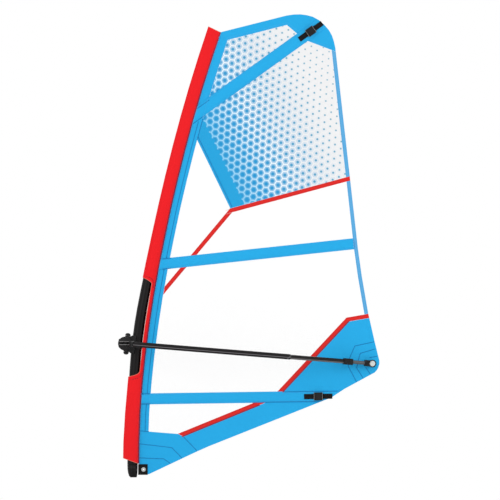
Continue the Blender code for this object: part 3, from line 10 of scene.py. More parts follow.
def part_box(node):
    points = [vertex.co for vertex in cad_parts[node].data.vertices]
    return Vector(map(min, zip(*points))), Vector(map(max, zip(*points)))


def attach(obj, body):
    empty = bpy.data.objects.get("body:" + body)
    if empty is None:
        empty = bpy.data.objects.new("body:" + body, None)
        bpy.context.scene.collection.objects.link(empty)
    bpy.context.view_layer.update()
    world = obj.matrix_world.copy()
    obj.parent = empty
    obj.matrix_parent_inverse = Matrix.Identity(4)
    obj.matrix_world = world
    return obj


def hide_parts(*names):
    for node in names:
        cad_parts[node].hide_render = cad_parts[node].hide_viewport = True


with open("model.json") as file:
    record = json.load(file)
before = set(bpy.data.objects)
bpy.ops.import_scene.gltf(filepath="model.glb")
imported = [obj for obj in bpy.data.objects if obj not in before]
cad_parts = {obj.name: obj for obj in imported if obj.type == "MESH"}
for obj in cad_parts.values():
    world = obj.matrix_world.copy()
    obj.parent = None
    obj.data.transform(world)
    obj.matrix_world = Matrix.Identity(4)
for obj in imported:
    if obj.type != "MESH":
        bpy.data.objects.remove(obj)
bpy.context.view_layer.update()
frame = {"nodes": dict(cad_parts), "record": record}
cadNodes = frame["nodes"]
bodies = frame["record"]["behaviour"]["bodies"]
nodeBody = {node: body for body, members in bodies.items() for node in members}
print("frame loaded:", len(cadNodes), "nodes")

# The photograph's view: square on to the port side, 3.5 mm to a pixel of the 500 x 500 image
view = {"pixels": 500, "pixel": 0.0035, "middle": (0.40775, 0.7959), "distance": 6.0}

cameraData = bpy.data.cameras.new("camera")
cameraData.type = "ORTHO"
cameraData.ortho_scale = view["pixels"] * view["pixel"]
cameraData.dof.use_dof = False
camera = bpy.data.objects.new("camera", cameraData)
bpy.context.scene.collection.objects.link(camera)
camera.location = (view["middle"][0], -view["distance"], view["middle"][1])
camera.rotation_euler = (math.pi / 2, 0.0, 0.0)
bpy.context.scene.camera = camera

# Colours as they read in the photograph, in sRGB from 0 to 255
colours = {
    "sleeveRed": (236, 32, 38),
    "tapeRed": (222, 44, 40),
    "clothBlue": (41, 171, 230),
    "leechBlue": (98, 172, 222),
    "seamBlue": (12, 124, 186),
    "seamRed": (178, 22, 30),
    "hemPale": (226, 118, 100),
    # Painted shade along the rear edges of the sleeve and the lower tapes
    "sleeveEdge": (134, 48, 72),
    "printGround": (235, 235, 236),
    "bandBlue": (26, 160, 217),
    "dotBlue": (34, 147, 206),
    "dotFar": (104, 168, 190),
    "haloBlue": (82, 174, 222),
    "netBlue": (138, 202, 238),
    "netWhite": (236, 246, 252),
    "filmWhite": (253, 253, 253),
    "mastBlack": (15, 11, 12),
    "plasticBlack": (26, 25, 26),
    # Painted shade in the hub's groove
    "grooveBlack": (8, 7, 8),
    "webbingBlack": (17, 13, 13),
    "gripBlack": (26, 24, 25),
    "gripSeam": (112, 109, 112),
    # Pale grey of the painted highlights on the hub band's edges and on the buckles' ends
    "edgeGrey": (140, 138, 138),
    # Grey of the painted reflection along the underside of the boom tube
    "tubeGrey": (80, 82, 86),
    "armGrey": (100, 95, 94),
    "steelGrey": (208, 214, 211),
    "eyeletGrey": (182, 186, 184),
    "battenPale": (222, 222, 214),
}


# A named colour as linear RGBA
def linear(name):
    channels = []
    for value in colours[name]:
        share = value / 255
        channels.append(share / 12.92 if share < 0.04045 else ((share + 0.055) / 1.055) ** 2.4)
    return (*channels, 1.0)


materials = {}


# One node material, built up from small calls
class Graph:
    def __init__(self, name, colour, rough, metallic=0.0, alpha=1.0, coat=0.0, sheen=0.0, specular=0.5):
        self.material = bpy.data.materials.new(name)
        materials[name] = self.material
        self.material.use_nodes = True
        self.tree = self.material.node_tree
        self.shader = self.tree.nodes["Principled BSDF"]
        settings = {"Base Color": colour, "Roughness": rough, "Metallic": metallic, "Alpha": alpha,
                    "Coat Weight": coat, "Coat Roughness": 0.12, "Sheen Weight": sheen,
                    "Sheen Roughness": 0.5, "Specular IOR Level": specular}
        for socket, value in settings.items():
            self.shader.inputs[socket].default_value = value
        self.point = self.add("ShaderNodeTexCoord", out="Object")

    def put(self, socket, value):
        if isinstance(value, bpy.types.NodeSocket):
            self.tree.links.new(value, socket)
        elif value is not None:
            socket.default_value = value

    def add(self, kind, *inputs, out=0, **settings):
        node = self.tree.nodes.new(kind)
        for key, value in settings.items():
            setattr(node, key, value)
        for socket, value in zip(node.inputs, inputs):
            self.put(socket, value)
        return node.outputs[out]

    def math(self, operation, a, b=None, c=None):
        return self.add("ShaderNodeMath", a, b, c, operation=operation)

    def times(self, a, b):
        return self.math("MULTIPLY", a, b)

    def total(self, *values):
        result = values[0]
        for value in values[1:]:
            result = self.math("ADD", result, value)
        return result

    def step(self, value, low, high, start=0.0, end=1.0):
        return self.add("ShaderNodeMapRange", value, low, high, start, end, interpolation_type="SMOOTHSTEP")

    def ramp(self, value, low, high):
        return self.add("ShaderNodeMapRange", value, low, high, 0.0, 1.0)

    def mixed(self, share, a, b):
        node = self.tree.nodes.new("ShaderNodeMix")
        node.data_type = "RGBA"
        self.put(node.inputs[0], share)
        self.put(node.inputs[6], a)
        self.put(node.inputs[7], b)
        return node.outputs[2]

    # The coordinate along one axis
    def along(self, axis):
        return self.add("ShaderNodeSeparateXYZ", self.point, out=axis)

    def noise(self, scale, detail=2.0, rough=0.5, stretch=None):
        place = self.add("ShaderNodeMapping", self.point, None, None, stretch) if stretch else self.point
        return self.add("ShaderNodeTexNoise", place, None, scale, detail, rough, out="Fac")

    # Ridges from 0 to 1, a spacing apart, across one axis
    def waves(self, spacing, axis, turn=0.0):
        turned = self.add("ShaderNodeMapping", self.point, None, (0.0, turn, 0.0))
        across = self.add("ShaderNodeSeparateXYZ", turned, out=axis)
        phase = self.times(across, 2 * math.pi / spacing)
        return self.math("MULTIPLY_ADD", self.math("SINE", phase), 0.5, 0.5)

    # The colour made up to an amount darker and lighter by a share from 0 to 1
    def tint(self, base, share, amount):
        low = tuple(c * (1 - amount) for c in base[:3]) + (1.0,)
        high = tuple(min(c * (1 + amount), 1.0) for c in base[:3]) + (1.0,)
        return self.mixed(share, low, high)

    def bump(self, height, strength, distance):
        node = self.tree.nodes.new("ShaderNodeBump")
        node.inputs["Strength"].default_value = strength
        node.inputs["Distance"].default_value = distance
        self.tree.links.new(height, node.inputs["Height"])
        self.tree.links.new(node.outputs["Normal"], self.shader.inputs["Normal"])

    def colour(self, value):
        self.put(self.shader.inputs["Base Color"], value)

    # Roughness between two values, as a pattern goes from low to high
    def rough(self, pattern, values, low=0.3, high=0.7):
        self.put(self.shader.inputs["Roughness"], self.step(pattern, low, high, *values))


# Sailcloth: plain weave, with a thicker yarn every few millimetres, in cloudy patches
weave = {"yarn": 0.0009, "ripstop": 0.0056, "ripstopFrom": 0.93, "ripstopRise": 0.8, "patch": 7.0,
         "mix": (0.55, 0.30, 0.18), "shade": 0.05, "bump": (0.35, 0.00012), "rough": (0.60, 0.72)}


def clothMaterial(name, colourName, turn=0.0):
    base = linear(colourName)
    graph = Graph(name, base, 0.66, specular=0.06)
    over = graph.times(*[graph.waves(weave["yarn"], axis, turn) for axis in ("X", "Z")])
    thick = [graph.step(graph.waves(weave["ripstop"], axis, turn), weave["ripstopFrom"], 1.0)
             for axis in ("X", "Z")]
    ribs = graph.math("MAXIMUM", *thick)
    cloud = graph.noise(weave["patch"], 4.0, 0.6)
    share = graph.total(*[graph.times(*pair) for pair in zip((cloud, over, ribs), weave["mix"])])
    graph.colour(graph.tint(base, share, weave["shade"]))
    graph.bump(graph.total(over, graph.times(ribs, weave["ripstopRise"])), *weave["bump"])
    graph.rough(cloud, weave["rough"], 0.2, 0.8)


# Clear film: nearly invisible square on, with a faint haze and soft ripples
film = {"alpha": 0.13, "ripple": 5.0, "stretch": (1.0, 1.0, 0.6), "haze": 420.0, "hazeRise": 0.004,
        "bump": (0.25, 0.004), "patch": 11.0, "rough": (0.07, 0.13)}


def filmMaterial(name):
    graph = Graph(name, linear("filmWhite"), 0.09, alpha=film["alpha"], specular=0.6)
    ripple = graph.noise(film["ripple"], 2.0, 0.45, film["stretch"])
    haze = graph.noise(film["haze"], 1.0)
    graph.bump(graph.total(ripple, graph.times(haze, film["hazeRise"])), *film["bump"])
    graph.rough(graph.noise(film["patch"], 3.0), film["rough"])


# Halftone print: dots on a hexagonal lattice, which shrink with the distance from the print's edge. Each
# pair of distances is where a fade starts and ends
halftone = {"dotAt": (0.3920, 1.2084), "across": (0.02175, 0.01028), "up": (0.00162, 0.02469),
            "edgeAt": (0.2191, 1.1883), "edgeNormal": (0.900, 0.436),
            "radii": ((0.06, 0.0076), (0.16, 0.0064), (0.24, 0.0054), (0.32, 0.0043), (0.48, 0.0027),
                      (0.56, 0.0022)),
            "netHalf": 0.0015, "soft": 0.0018, "netPales": (0.05, 0.20), "netEnds": (0.18, 0.32),
            "haloEnds": (0.03, 0.48), "dotPales": (0.14, 0.46), "bandEnd": (0.055, 0.058), "zigzag": 0.6,
            "ripple": 6.0, "bump": (0.2, 0.003), "patch": 15.0, "rough": (0.20, 0.30)}


# The distance to the nearest dot's middle, and across the cell to its side
def halftoneCell(graph, x, z):
    (acrossX, acrossZ), (upX, upZ) = halftone["across"], halftone["up"]
    pitch = (math.hypot(acrossX, acrossZ) + math.hypot(upX, upZ)) / 2
    tall = pitch * math.sqrt(3)
    size = acrossX * upZ - acrossZ * upX
    dx = graph.math("SUBTRACT", x, halftone["dotAt"][0])
    dz = graph.math("SUBTRACT", z, halftone["dotAt"][1])
    u = graph.total(graph.times(dx, (upZ - acrossZ / 2) * pitch / size),
                    graph.times(dz, (acrossX / 2 - upX) * pitch / size))
    v = graph.total(graph.times(dx, -acrossZ * tall / 2 / size), graph.times(dz, acrossX * tall / 2 / size))
    distances, hexes = [], []
    for shift in (0.5, 0.0):
        a = graph.math("FRACT", graph.total(graph.math("DIVIDE", u, pitch), shift))
        b = graph.math("FRACT", graph.total(graph.math("DIVIDE", v, tall), shift))
        a = graph.math("ABSOLUTE", graph.math("MULTIPLY_ADD", a, pitch, -pitch / 2))
        b = graph.math("ABSOLUTE", graph.math("MULTIPLY_ADD", b, tall, -tall / 2))
        distances.append(graph.math("SQRT", graph.total(graph.times(a, a), graph.times(b, b))))
        leaning = graph.total(graph.times(a, 0.5), graph.times(b, math.sqrt(0.75)))
        hexes.append(graph.math("MAXIMUM", a, leaning))
    return graph.math("MINIMUM", *distances), graph.math("MINIMUM", *hexes), pitch


# The halftone on pale film; banded turns the start of the fade into a plain band of blue
def printMaterial(name, banded):
    ground = linear("printGround")
    graph = Graph(name, ground, 0.24, specular=0.25)
    x, z = graph.along("X"), graph.along("Z")
    edgeX, edgeZ = halftone["edgeAt"]
    normalX, normalZ = halftone["edgeNormal"]
    away = graph.total(graph.times(graph.math("SUBTRACT", x, edgeX), normalX),
                       graph.times(graph.math("SUBTRACT", z, edgeZ), normalZ))
    distance, cell, pitch = halftoneCell(graph, x, z)
    radius = halftone["radii"][0][1]
    for (low, wide), (high, slim) in zip(halftone["radii"], halftone["radii"][1:]):
        radius = graph.math("MULTIPLY_ADD", graph.ramp(away, low, high), slim - wide, radius)
    soft, netHalf = halftone["soft"], halftone["netHalf"]
    dot = graph.step(graph.math("SUBTRACT", distance, radius), -soft, soft, 1.0, 0.0)
    net = graph.step(cell, pitch / 2 - 2 * netHalf, pitch / 2 - netHalf / 2)
    lines = graph.mixed(graph.ramp(away, *halftone["netPales"]), linear("netBlue"), linear("netWhite"))
    lines = graph.mixed(graph.ramp(away, *halftone["netEnds"]), lines, ground)
    halo = graph.mixed(graph.step(away, *halftone["haloEnds"]), linear("haloBlue"), ground)
    dots = graph.mixed(graph.ramp(away, *halftone["dotPales"]), linear("dotBlue"), linear("dotFar"))
    printed = graph.mixed(dot, graph.mixed(net, halo, lines), dots)
    if banded:
        jagged = graph.total(away, graph.times(cell, halftone["zigzag"]))
        band = graph.step(jagged, *halftone["bandEnd"], 1.0, 0.0)
        printed = graph.mixed(band, printed, linear("bandBlue"))
    graph.colour(printed)
    graph.bump(graph.noise(halftone["ripple"]), *halftone["bump"])
    graph.rough(graph.noise(halftone["patch"], 3.0), halftone["rough"])


# Moulded plastic: a fine spark texture, worn a little smooth in patches
plastic = {"grain": 900.0, "bump": (0.25, 0.00025), "wear": 28.0, "shade": 0.22, "rough": 0.42,
           "spread": 0.08}


# Lays grain and wear on a material, and returns its colour
def moulded(graph, base, grain, rough):
    worn = graph.noise(plastic["wear"], 3.0, 0.6)
    graph.bump(graph.noise(grain, 2.0, 0.6), *plastic["bump"])
    graph.rough(worn, (rough - plastic["spread"], rough + plastic["spread"]))
    return graph.tint(base, worn, plastic["shade"])


def plasticMaterial(name, colourName, grain=plastic["grain"], rough=plastic["rough"]):
    base = linear(colourName)
    graph = Graph(name, base, rough, specular=0.18)
    graph.colour(moulded(graph, base, grain, rough))


# A drawn or wrapped tube: fine streaks along it over a faint grain
drawn = {"streak": 60.0, "stretch": (0.06, 1.0, 1.0), "shade": 0.18, "spread": 0.06,
         "grain": 700.0, "bump": (0.12, 0.0001)}


# Lays the grain on a material, and returns the streaks
def tubeStreaks(graph):
    graph.bump(graph.noise(drawn["grain"]), *drawn["bump"])
    return graph.noise(drawn["streak"], 3.0, 0.6, drawn["stretch"])


def tubeMaterial(name, colourName, rough, metallic, coat):
    base = linear(colourName)
    graph = Graph(name, base, rough, metallic=metallic, coat=coat)
    streaks = tubeStreaks(graph)
    graph.colour(graph.tint(base, streaks, drawn["shade"]))
    graph.rough(streaks, (rough - drawn["spread"], rough + drawn["spread"]))


# Boom: the tube is black, with a painted reflection as a grey band below its middle from partway along,
# and the grip has a pale line along it and a pale slanted line at its end. The slope is in degrees
boom = {"slope": 4.613, "height": 0.4659, "greyFrom": 0.50, "greyBelow": 0.0020, "greySoft": 0.001,
        "seamBelow": 0.0021, "seamHalf": 0.0010, "gripEnd": 0.5466, "endHalf": 0.0014,
        "shade": (0.2, 0.1), "rough": (0.28, 0.40)}


# How far a place lies above the line of the boom, and its place along it
def boomPlace(graph):
    slope = math.radians(boom["slope"])
    x, z = graph.along("X"), graph.along("Z")
    drop = graph.math("MULTIPLY_ADD", x, math.tan(slope), -boom["height"])
    return graph.times(graph.total(z, drop), math.cos(slope)), x


# One inside a stripe of the given half width, and nought outside
def stripe(graph, away, half):
    return graph.step(graph.math("ABSOLUTE", away), half * 0.7, half * 1.3, 1.0, 0.0)


# The slanted line at the grip's end
def gripEnd(graph, above, along):
    away = graph.math("SUBTRACT", graph.math("SUBTRACT", along, above), boom["gripEnd"])
    return stripe(graph, away, boom["endHalf"])


def armMaterial(name):
    base = linear("mastBlack")
    graph = Graph(name, base, 0.36, specular=0.18)
    above, along = boomPlace(graph)
    # Painted reflection: a grey band along the lower half of the tube, from partway along it
    low = -boom["greyBelow"]
    paintedReflection = graph.times(graph.step(above, low - boom["greySoft"], low, 1.0, 0.0),
                       graph.math("GREATER_THAN", along, boom["greyFrom"]))
    streaks = tubeStreaks(graph)
    dark, pale = boom["shade"]
    bare = graph.mixed(paintedReflection, graph.tint(base, streaks, dark), graph.tint(linear("armGrey"), streaks, pale))
    graph.colour(graph.mixed(gripEnd(graph, above, along), bare, linear("gripSeam")))
    graph.rough(streaks, boom["rough"])


# Mast: wrapped laminate, with a diagonal weave and a satin finish
laminate = {"spacing": 0.0032, "lean": math.radians(38), "wear": 18.0, "mix": (0.6, 0.4), "shade": 0.35,
            "bump": (0.10, 0.0001), "rough": (0.32, 0.46)}


def mastMaterial(name):
    base = linear("mastBlack")
    graph = Graph(name, base, 0.42, specular=0.16)
    lean = laminate["lean"]
    fibres = graph.times(*[graph.waves(laminate["spacing"], "Z", turn) for turn in (lean, -lean)])
    wear = graph.noise(laminate["wear"], 4.0, 0.6)
    share = graph.total(*[graph.times(*pair) for pair in zip((fibres, wear), laminate["mix"])])
    graph.colour(graph.tint(base, share, laminate["shade"]))
    graph.bump(fibres, *laminate["bump"])
    graph.rough(wear, laminate["rough"])


# Hub: moulded plastic, with painted shade as a dark band over its groove and painted highlights as pale
# lines along the band's two edges
hub = {"bandAt": 0.4701, "bandHalf": 0.0055, "bandFrom": -0.0500, "bandTo": -0.0150, "wornHalf": 0.0008}


def hubMaterial(name):
    base = linear("plasticBlack")
    graph = Graph(name, base, plastic["rough"], specular=0.18)
    x, z = graph.along("X"), graph.along("Z")
    span = graph.times(graph.math("GREATER_THAN", x, hub["bandFrom"]),
                       graph.math("LESS_THAN", x, hub["bandTo"]))
    above = graph.math("ABSOLUTE", graph.math("SUBTRACT", z, hub["bandAt"]))
    away = graph.math("SUBTRACT", above, hub["bandHalf"])
    # Painted shade inside the band, and painted highlights along its two edges
    shadedBand = graph.times(span, graph.math("LESS_THAN", away, 0.0))
    edges = graph.times(span, stripe(graph, away, hub["wornHalf"]))
    body = moulded(graph, base, plastic["grain"], plastic["rough"])
    graph.colour(graph.mixed(edges, graph.mixed(shadedBand, body, linear("grooveBlack")), linear("edgeGrey")))


# Boom grip: fine-pored foam with a shallow diamond emboss
foam = {"emboss": 0.0046, "lean": math.radians(35), "embossFrom": 0.75, "pores": 1500.0, "poreRise": 0.25,
        "shade": 0.30, "bump": (0.4, 0.0004), "rough": (0.76, 0.88)}


def gripMaterial(name):
    base = linear("gripBlack")
    graph = Graph(name, base, 0.82, specular=0.2)
    emboss = graph.math("MAXIMUM", *[graph.step(graph.waves(foam["emboss"], "X", sign * foam["lean"]),
                                                foam["embossFrom"], 1.0) for sign in (1, -1)])
    pores = graph.noise(foam["pores"], 2.0, 0.7)
    above, along = boomPlace(graph)
    # A pale line along the grip just under its middle, and a pale slanted line at its end
    seam = stripe(graph, graph.total(above, boom["seamBelow"]), boom["seamHalf"])
    pale = graph.math("MAXIMUM", seam, gripEnd(graph, above, along))
    skin = graph.tint(base, graph.math("SUBTRACT", 1.0, emboss), foam["shade"])
    graph.colour(graph.mixed(pale, skin, linear("gripSeam")))
    graph.bump(graph.total(graph.times(emboss, -1.0), graph.times(pores, foam["poreRise"])), *foam["bump"])
    graph.rough(pores, foam["rough"])


# Woven strap: ribs across it, and a fine yarn along it
strap = {"rib": 0.0016, "yarn": 0.0011, "shade": 0.4, "bump": (0.5, 0.0003), "patch": 90.0,
         "rough": (0.72, 0.84)}


def webbingMaterial(name):
    base = linear("webbingBlack")
    graph = Graph(name, base, 0.78, specular=0.2)
    woven = graph.times(graph.waves(strap["rib"], "X"), graph.waves(strap["yarn"], "Z"))
    graph.colour(graph.tint(base, woven, strap["shade"]))
    graph.bump(woven, *strap["bump"])
    graph.rough(graph.noise(strap["patch"]), strap["rough"])


# Turned steel: fine rings from the tool, and faint stains
turned = {"rings": 220.0, "stretch": (1.0, 0.05, 1.0), "stain": 35.0, "shade": 0.10, "bump": (0.10, 0.0001),
          "metallic": 0.3, "spread": (-0.06, 0.10)}


def steelMaterial(name, colourName, rough):
    base = linear(colourName)
    graph = Graph(name, base, rough, metallic=turned["metallic"])
    rings = graph.noise(turned["rings"], 3.0, 0.6, turned["stretch"])
    graph.colour(graph.tint(base, graph.noise(turned["stain"], 3.0), turned["shade"]))
    graph.bump(rings, *turned["bump"])
    graph.rough(rings, [rough + more for more in turned["spread"]])


# Twisted sewing thread
twist = {"ply": 0.0007, "lean": math.radians(40), "shade": 0.12, "bump": (0.3, 0.0001)}


def threadMaterial(name, colourName):
    base = linear(colourName)
    graph = Graph(name, base, 0.6, sheen=0.2)
    ply = graph.waves(twist["ply"], "X", twist["lean"])
    graph.colour(graph.tint(base, ply, twist["shade"]))
    graph.bump(ply, *twist["bump"])


# Each cloth, its colour, and how far its weave is turned, in degrees
cloths = (("sleeveCloth", "sleeveRed", 0), ("tapeCloth", "tapeRed", 14), ("panelCloth", "clothBlue", 0),
          ("leechCloth", "leechBlue", 7), ("sleeveEdgeCloth", "sleeveEdge", 0),
          ("cutoutSeamTape", "seamRed", 0), ("hemCloth", "hemPale", 0), ("seamTape", "seamBlue", 0))
for name, colourName, turn in cloths:
    clothMaterial(name, colourName, math.radians(turn))
threadMaterial("threadBlue", "clothBlue")
threadMaterial("threadDarkBlue", "seamBlue")
threadMaterial("threadRed", "seamRed")
filmMaterial("clearFilm")
printMaterial("printedFilmBanded", banded=True)
printMaterial("printedFilm", banded=False)
mastMaterial("mastLaminate")
armMaterial("armTube")
gripMaterial("gripFoam")
plasticMaterial("mouldedPlastic", "plasticBlack")
plasticMaterial("footPlastic", "mastBlack", grain=700.0, rough=0.5)
plasticMaterial("buckleEdge", "edgeGrey")
hubMaterial("hubPlastic")
hubMaterial("blackenedSteel")
webbingMaterial("webbing")
tubeMaterial("anodisedTube", "tubeGrey", rough=0.38, metallic=0.3, coat=0.0)
tubeMaterial("battenFibre", "battenPale", rough=0.4, metallic=0.0, coat=0.2)
steelMaterial("turnedSteel", "steelGrey", rough=0.34)
steelMaterial("eyeletSteel", "eyeletGrey", rough=0.40)
print("materials made:", len(materials))

# Camber of the sail, as part of a cone: the model has it in flat strips, here it is round. The cone's tip
# is above the sail, and a ray is so far aft for each metre down from it
camber = {"apex": (0.51, 2.84), "luffRay": -0.147, "leechRay": 0.118, "share": 0.0115, "skew": 0.85,
          "strips": 8, "fine": 5}


# The share of the full depth at a place from 0 at the luff to 1 at the leech
def camberShape(place):
    return math.sin(math.pi * place ** camber["skew"]) ** 2 if 0 < place < 1 else 0.0


# How far the cloth lies to starboard, and how far the model's flat strips do
def roundCamber(x, z):
    drop = camber["apex"][1] - z
    place = ((x - camber["apex"][0]) / drop - camber["luffRay"]) / (camber["leechRay"] - camber["luffRay"])
    strip = min(max(place * camber["strips"], 0.0), float(camber["strips"]))
    low = min(int(strip), camber["strips"] - 1)
    a, b = camberShape(low / camber["strips"]), camberShape((low + 1) / camber["strips"])
    depth = camber["share"] * drop
    return depth * camberShape(place), depth * (a + (b - a) * (strip - low))


# Points nearer than weld become one, and faces within so many degrees of flat do too. A cut that runs
# within snap of the model's own edge follows that edge
mend = {"weld": 2e-6, "flat": 0.4, "snap": 1e-5}


# A copy of a node's mesh with its loose triangles joined up and flat faces made whole
def merged(node):
    bm = bmesh.new()
    bm.from_mesh(cadNodes[node].data)
    bmesh.ops.remove_doubles(bm, verts=bm.verts, dist=mend["weld"])
    bmesh.ops.dissolve_limit(bm, angle_limit=math.radians(mend["flat"]), use_dissolve_boundaries=False,
                             verts=bm.verts, edges=bm.edges)
    return bm


# New edges wherever a plane crosses the mesh
def cut(bm, point, normal):
    geometry = list(bm.verts) + list(bm.edges) + list(bm.faces)
    bmesh.ops.bisect_plane(bm, geom=geometry, dist=mend["snap"], plane_co=point,
                           plane_no=normal.normalized())


# Cuts a copy along more rays and moves it from the flat strips onto the round camber
def laidOnCamber(bm):
    apexX, apexZ = camber["apex"]
    count = camber["strips"] * camber["fine"]
    for k in range(count + 1):
        slope = camber["luffRay"] + (camber["leechRay"] - camber["luffRay"]) * k / count
        cut(bm, (apexX, 0, apexZ), Vector((1.0, 0.0, slope)))
    for vert in bm.verts:
        smooth, flat = roundCamber(vert.co.x, vert.co.z)
        vert.co.y += smooth - flat
    return bm


# Edges that turn by more degrees than this stay sharp
sharpFrom = {"cloth": 40, "hard": 35, "box": 30, "thread": 60}


# Turns a bmesh into a shown piece that rides on a body
def finished(name, bm, look, body, kind, extra=()):
    bmesh.ops.recalc_face_normals(bm, faces=bm.faces)
    mesh = bpy.data.meshes.new(name)
    bm.to_mesh(mesh)
    bm.free()
    mesh.materials.append(materials[look])
    for other in extra:
        mesh.materials.append(materials[other])
    mesh.shade_smooth()
    mesh.set_sharp_from_angle(angle=math.radians(sharpFrom[kind]))
    made = bpy.data.objects.new(name, mesh)
    bpy.context.scene.collection.objects.link(made)
    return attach(made, body)


def camelName(node):
    first, *rest = node.split("_")
    return first + "".join(word.capitalize() for word in rest)


# A piece that replaces one node of the model
def standIn(node, bm, look, kind, extra=()):
    made = finished(camelName(node), bm, look, nodeBody[node], kind, extra)
    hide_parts(node)
    return made


# Flat cloth, film and tapes
clothLook = {"upper_print_panel": "printedFilm", "print_panel": "printedFilmBanded",
             "clew_panel": "panelCloth", "foot_panel": "panelCloth", "tack_panel": "panelCloth",
             "luff_panel": "panelCloth", "head_panel": "panelCloth", "leech_tape": "leechCloth",
             "upper_tape": "tapeCloth", "diagonal_tape": "tapeCloth", "foot_tape": "tapeCloth",
             "clew_tape": "tapeCloth", "luff_window": "clearFilm", "small_window": "clearFilm",
             "upper_window": "clearFilm", "main_window": "clearFilm", "lower_window": "clearFilm"}
rowsEvery = 0.06  # height from one level cut across a panel to the next
panels = []
for node, look in clothLook.items():
    panelMesh = laidOnCamber(merged(node))
    low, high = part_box(node)
    row = math.ceil(low.z / rowsEvery) * rowsEvery
    while row < high.z:
        cut(panelMesh, (0, 0, row), Vector((0, 0, 1)))
        row += rowsEvery
    panel = standIn(node, panelMesh, look, "cloth")
    panels.append(panel)
print("panels laid:", len(panels))

# Battens: the two ends of each one's middle line, and its pocket's width
battens = {"top": ((0.2160, 1.2702), (0.6756, 1.6013), 0.0430),
           "middle": ((0.0998, 0.7465), (0.7700, 0.8177), 0.0386),
           "lower": ((0.0262, 0.2745), (0.6983, 0.2842), 0.0386)}
# Batten pockets: the model's crown is angular, here it is one low swell across the pocket. Flat is half the
# crown's width, and inner is a depth between the pocket's two skins there
pocket = {"flat": 0.0095, "inner": -0.0060, "hem": -0.0016, "swell": 0.0047, "power": 2.4, "steps": 9,
          "slack": 1e-5}


# The direction square to a batten, in the plane of the sail
def battenSide(name):
    start, end, _ = battens[name]
    return Vector((-(end[1] - start[1]), 0.0, end[0] - start[0])).normalized()


for name, (start, end, width) in battens.items():
    node = f"{name}_batten_pocket"
    pocketMesh = merged(node)
    side = battenSide(name)
    origin = Vector((start[0], 0.0, start[1]))
    for k in range(1 - pocket["steps"], pocket["steps"]):
        cut(pocketMesh, origin + side * (width / 2 * k / pocket["steps"]), side)
    for vert in pocketMesh.verts:
        away = abs((vert.co - origin).dot(side))
        flat = roundCamber(vert.co.x, vert.co.z)[1]
        onCrown = away < pocket["flat"] - pocket["slack"]
        skin = pocket["inner"] if onCrown else pocket["hem"] + pocket["slack"]
        if vert.co.y - flat < skin:
            share = 1 - min(2 * away / width, 1.0) ** pocket["power"]
            vert.co.y = flat + pocket["hem"] - pocket["swell"] * share
    panel = standIn(node, laidOnCamber(pocketMesh), "panelCloth", "cloth")
    panels.append(panel)
    standIn(f"{name}_batten", laidOnCamber(merged(f"{name}_batten")), "battenFibre", "cloth")
print("pockets laid")

# Luff sleeve, with a pale hem along the cut-out and the two ends. A hem's line has the cloth on its right
hem = {"width": 0.0017, "near": 0.004, "snap": 1e-7}
cutoutEdge = [(-0.0184, 0.3529), (0.0030, 0.3581), (0.0151, 0.3633), (0.0210, 0.3703), (0.0256, 0.4109),
              (0.0310, 0.4659), (0.0380, 0.5209), (0.0461, 0.5759), (0.0557, 0.6311), (0.0632, 0.6785),
              (0.0596, 0.6838), (0.0481, 0.6915), (0.0337, 0.6985)]
hemLines = [cutoutEdge, [(0.0186, 0.0472), (-0.0400, 0.0680)], [(0.2600, 1.5798), (0.3060, 1.5578)]]


# How far a point is from a stretch of line, seen from the side
def flatDistance(point, start, end):
    x, z = point.x - start[0], point.z - start[1]
    runX, runZ = end[0] - start[0], end[1] - start[1]
    share = min(max((x * runX + z * runZ) / (runX * runX + runZ * runZ), 0.0), 1.0)
    return math.hypot(x - runX * share, z - runZ * share)


sleeveMesh = merged("luff_sleeve")
stretches = [stretch for line in hemLines for stretch in zip(line, line[1:])]
for start, end in stretches:
    near = [face for face in sleeveMesh.faces
            if any(flatDistance(vert.co, start, end) < hem["near"] for vert in face.verts)]
    geometry = set(near)
    for face in near:
        geometry.update(face.verts)
        geometry.update(face.edges)
    outward = Vector((start[1] - end[1], 0.0, end[0] - start[0])).normalized()
    bmesh.ops.bisect_plane(sleeveMesh, geom=list(geometry), dist=hem["snap"], plane_no=outward,
                           plane_co=Vector((start[0], 0.0, start[1])) - outward * hem["width"])
for face in sleeveMesh.faces:
    middle = face.calc_center_median()
    if min(flatDistance(middle, start, end) for start, end in stretches) < hem["width"]:
        face.material_index = 1
sleeve = standIn("luff_sleeve", sleeveMesh, "sleeveCloth", "cloth", ["hemCloth"])
panels.append(sleeve)

# The tack patch is let out forward as far as the panel's front edge
patchReach = 0.0013
patchMesh = merged("tack_patch")
low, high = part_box("tack_patch")
for vert in patchMesh.verts:
    vert.co.x -= patchReach * (high.x - vert.co.x) / (high.x - low.x)
panels.append(standIn("tack_patch", patchMesh, "webbing", "box"))
print("sleeve and patch made")

# Seams: narrow tapes, and zigzag stitches of real thread, on both faces of the cloth
stitch = {"step": 0.0016, "half": 0.00035, "proud": 0.00022, "sunk": 0.00009}
zigzag = {"seamsDark": 0.0022, "seamsPocket": 0.0020, "seamsBlue": 0.0024, "seamsRed": 0.0022,
          "seamsSleeve": 0.0026}
tapeSize = {"step": 0.012, "proud": 0.00020, "sunk": 0.00010}
tapeEndSize = {"step": 0.0015, "proud": 0.00040, "sunk": 0.00010}
tapeWidth = {"seam": 0.0026, "cover": 0.0030, "sleeveRear": 0.0040, "tapeRear": 0.0030, "cutout": 0.0034}


# The faces of several pieces, ready for rays
def surfaces(objects):
    points, faces = [], []
    for made in objects:
        first = len(points)
        points += [tuple(v.co) for v in made.data.vertices]
        faces += [tuple(first + k for k in face.vertices) for face in made.data.polygons]
    return BVHTree.FromPolygons(points, faces)


rayStart = 0.4  # how far off the cloth a ray starts


# The place on one face of the cloth at (x, z), or None beside the cloth
def onCloth(x, z, face):
    return cloth.ray_cast(Vector((x, face * rayStart, z)), Vector((0, -face, 0)))[0]


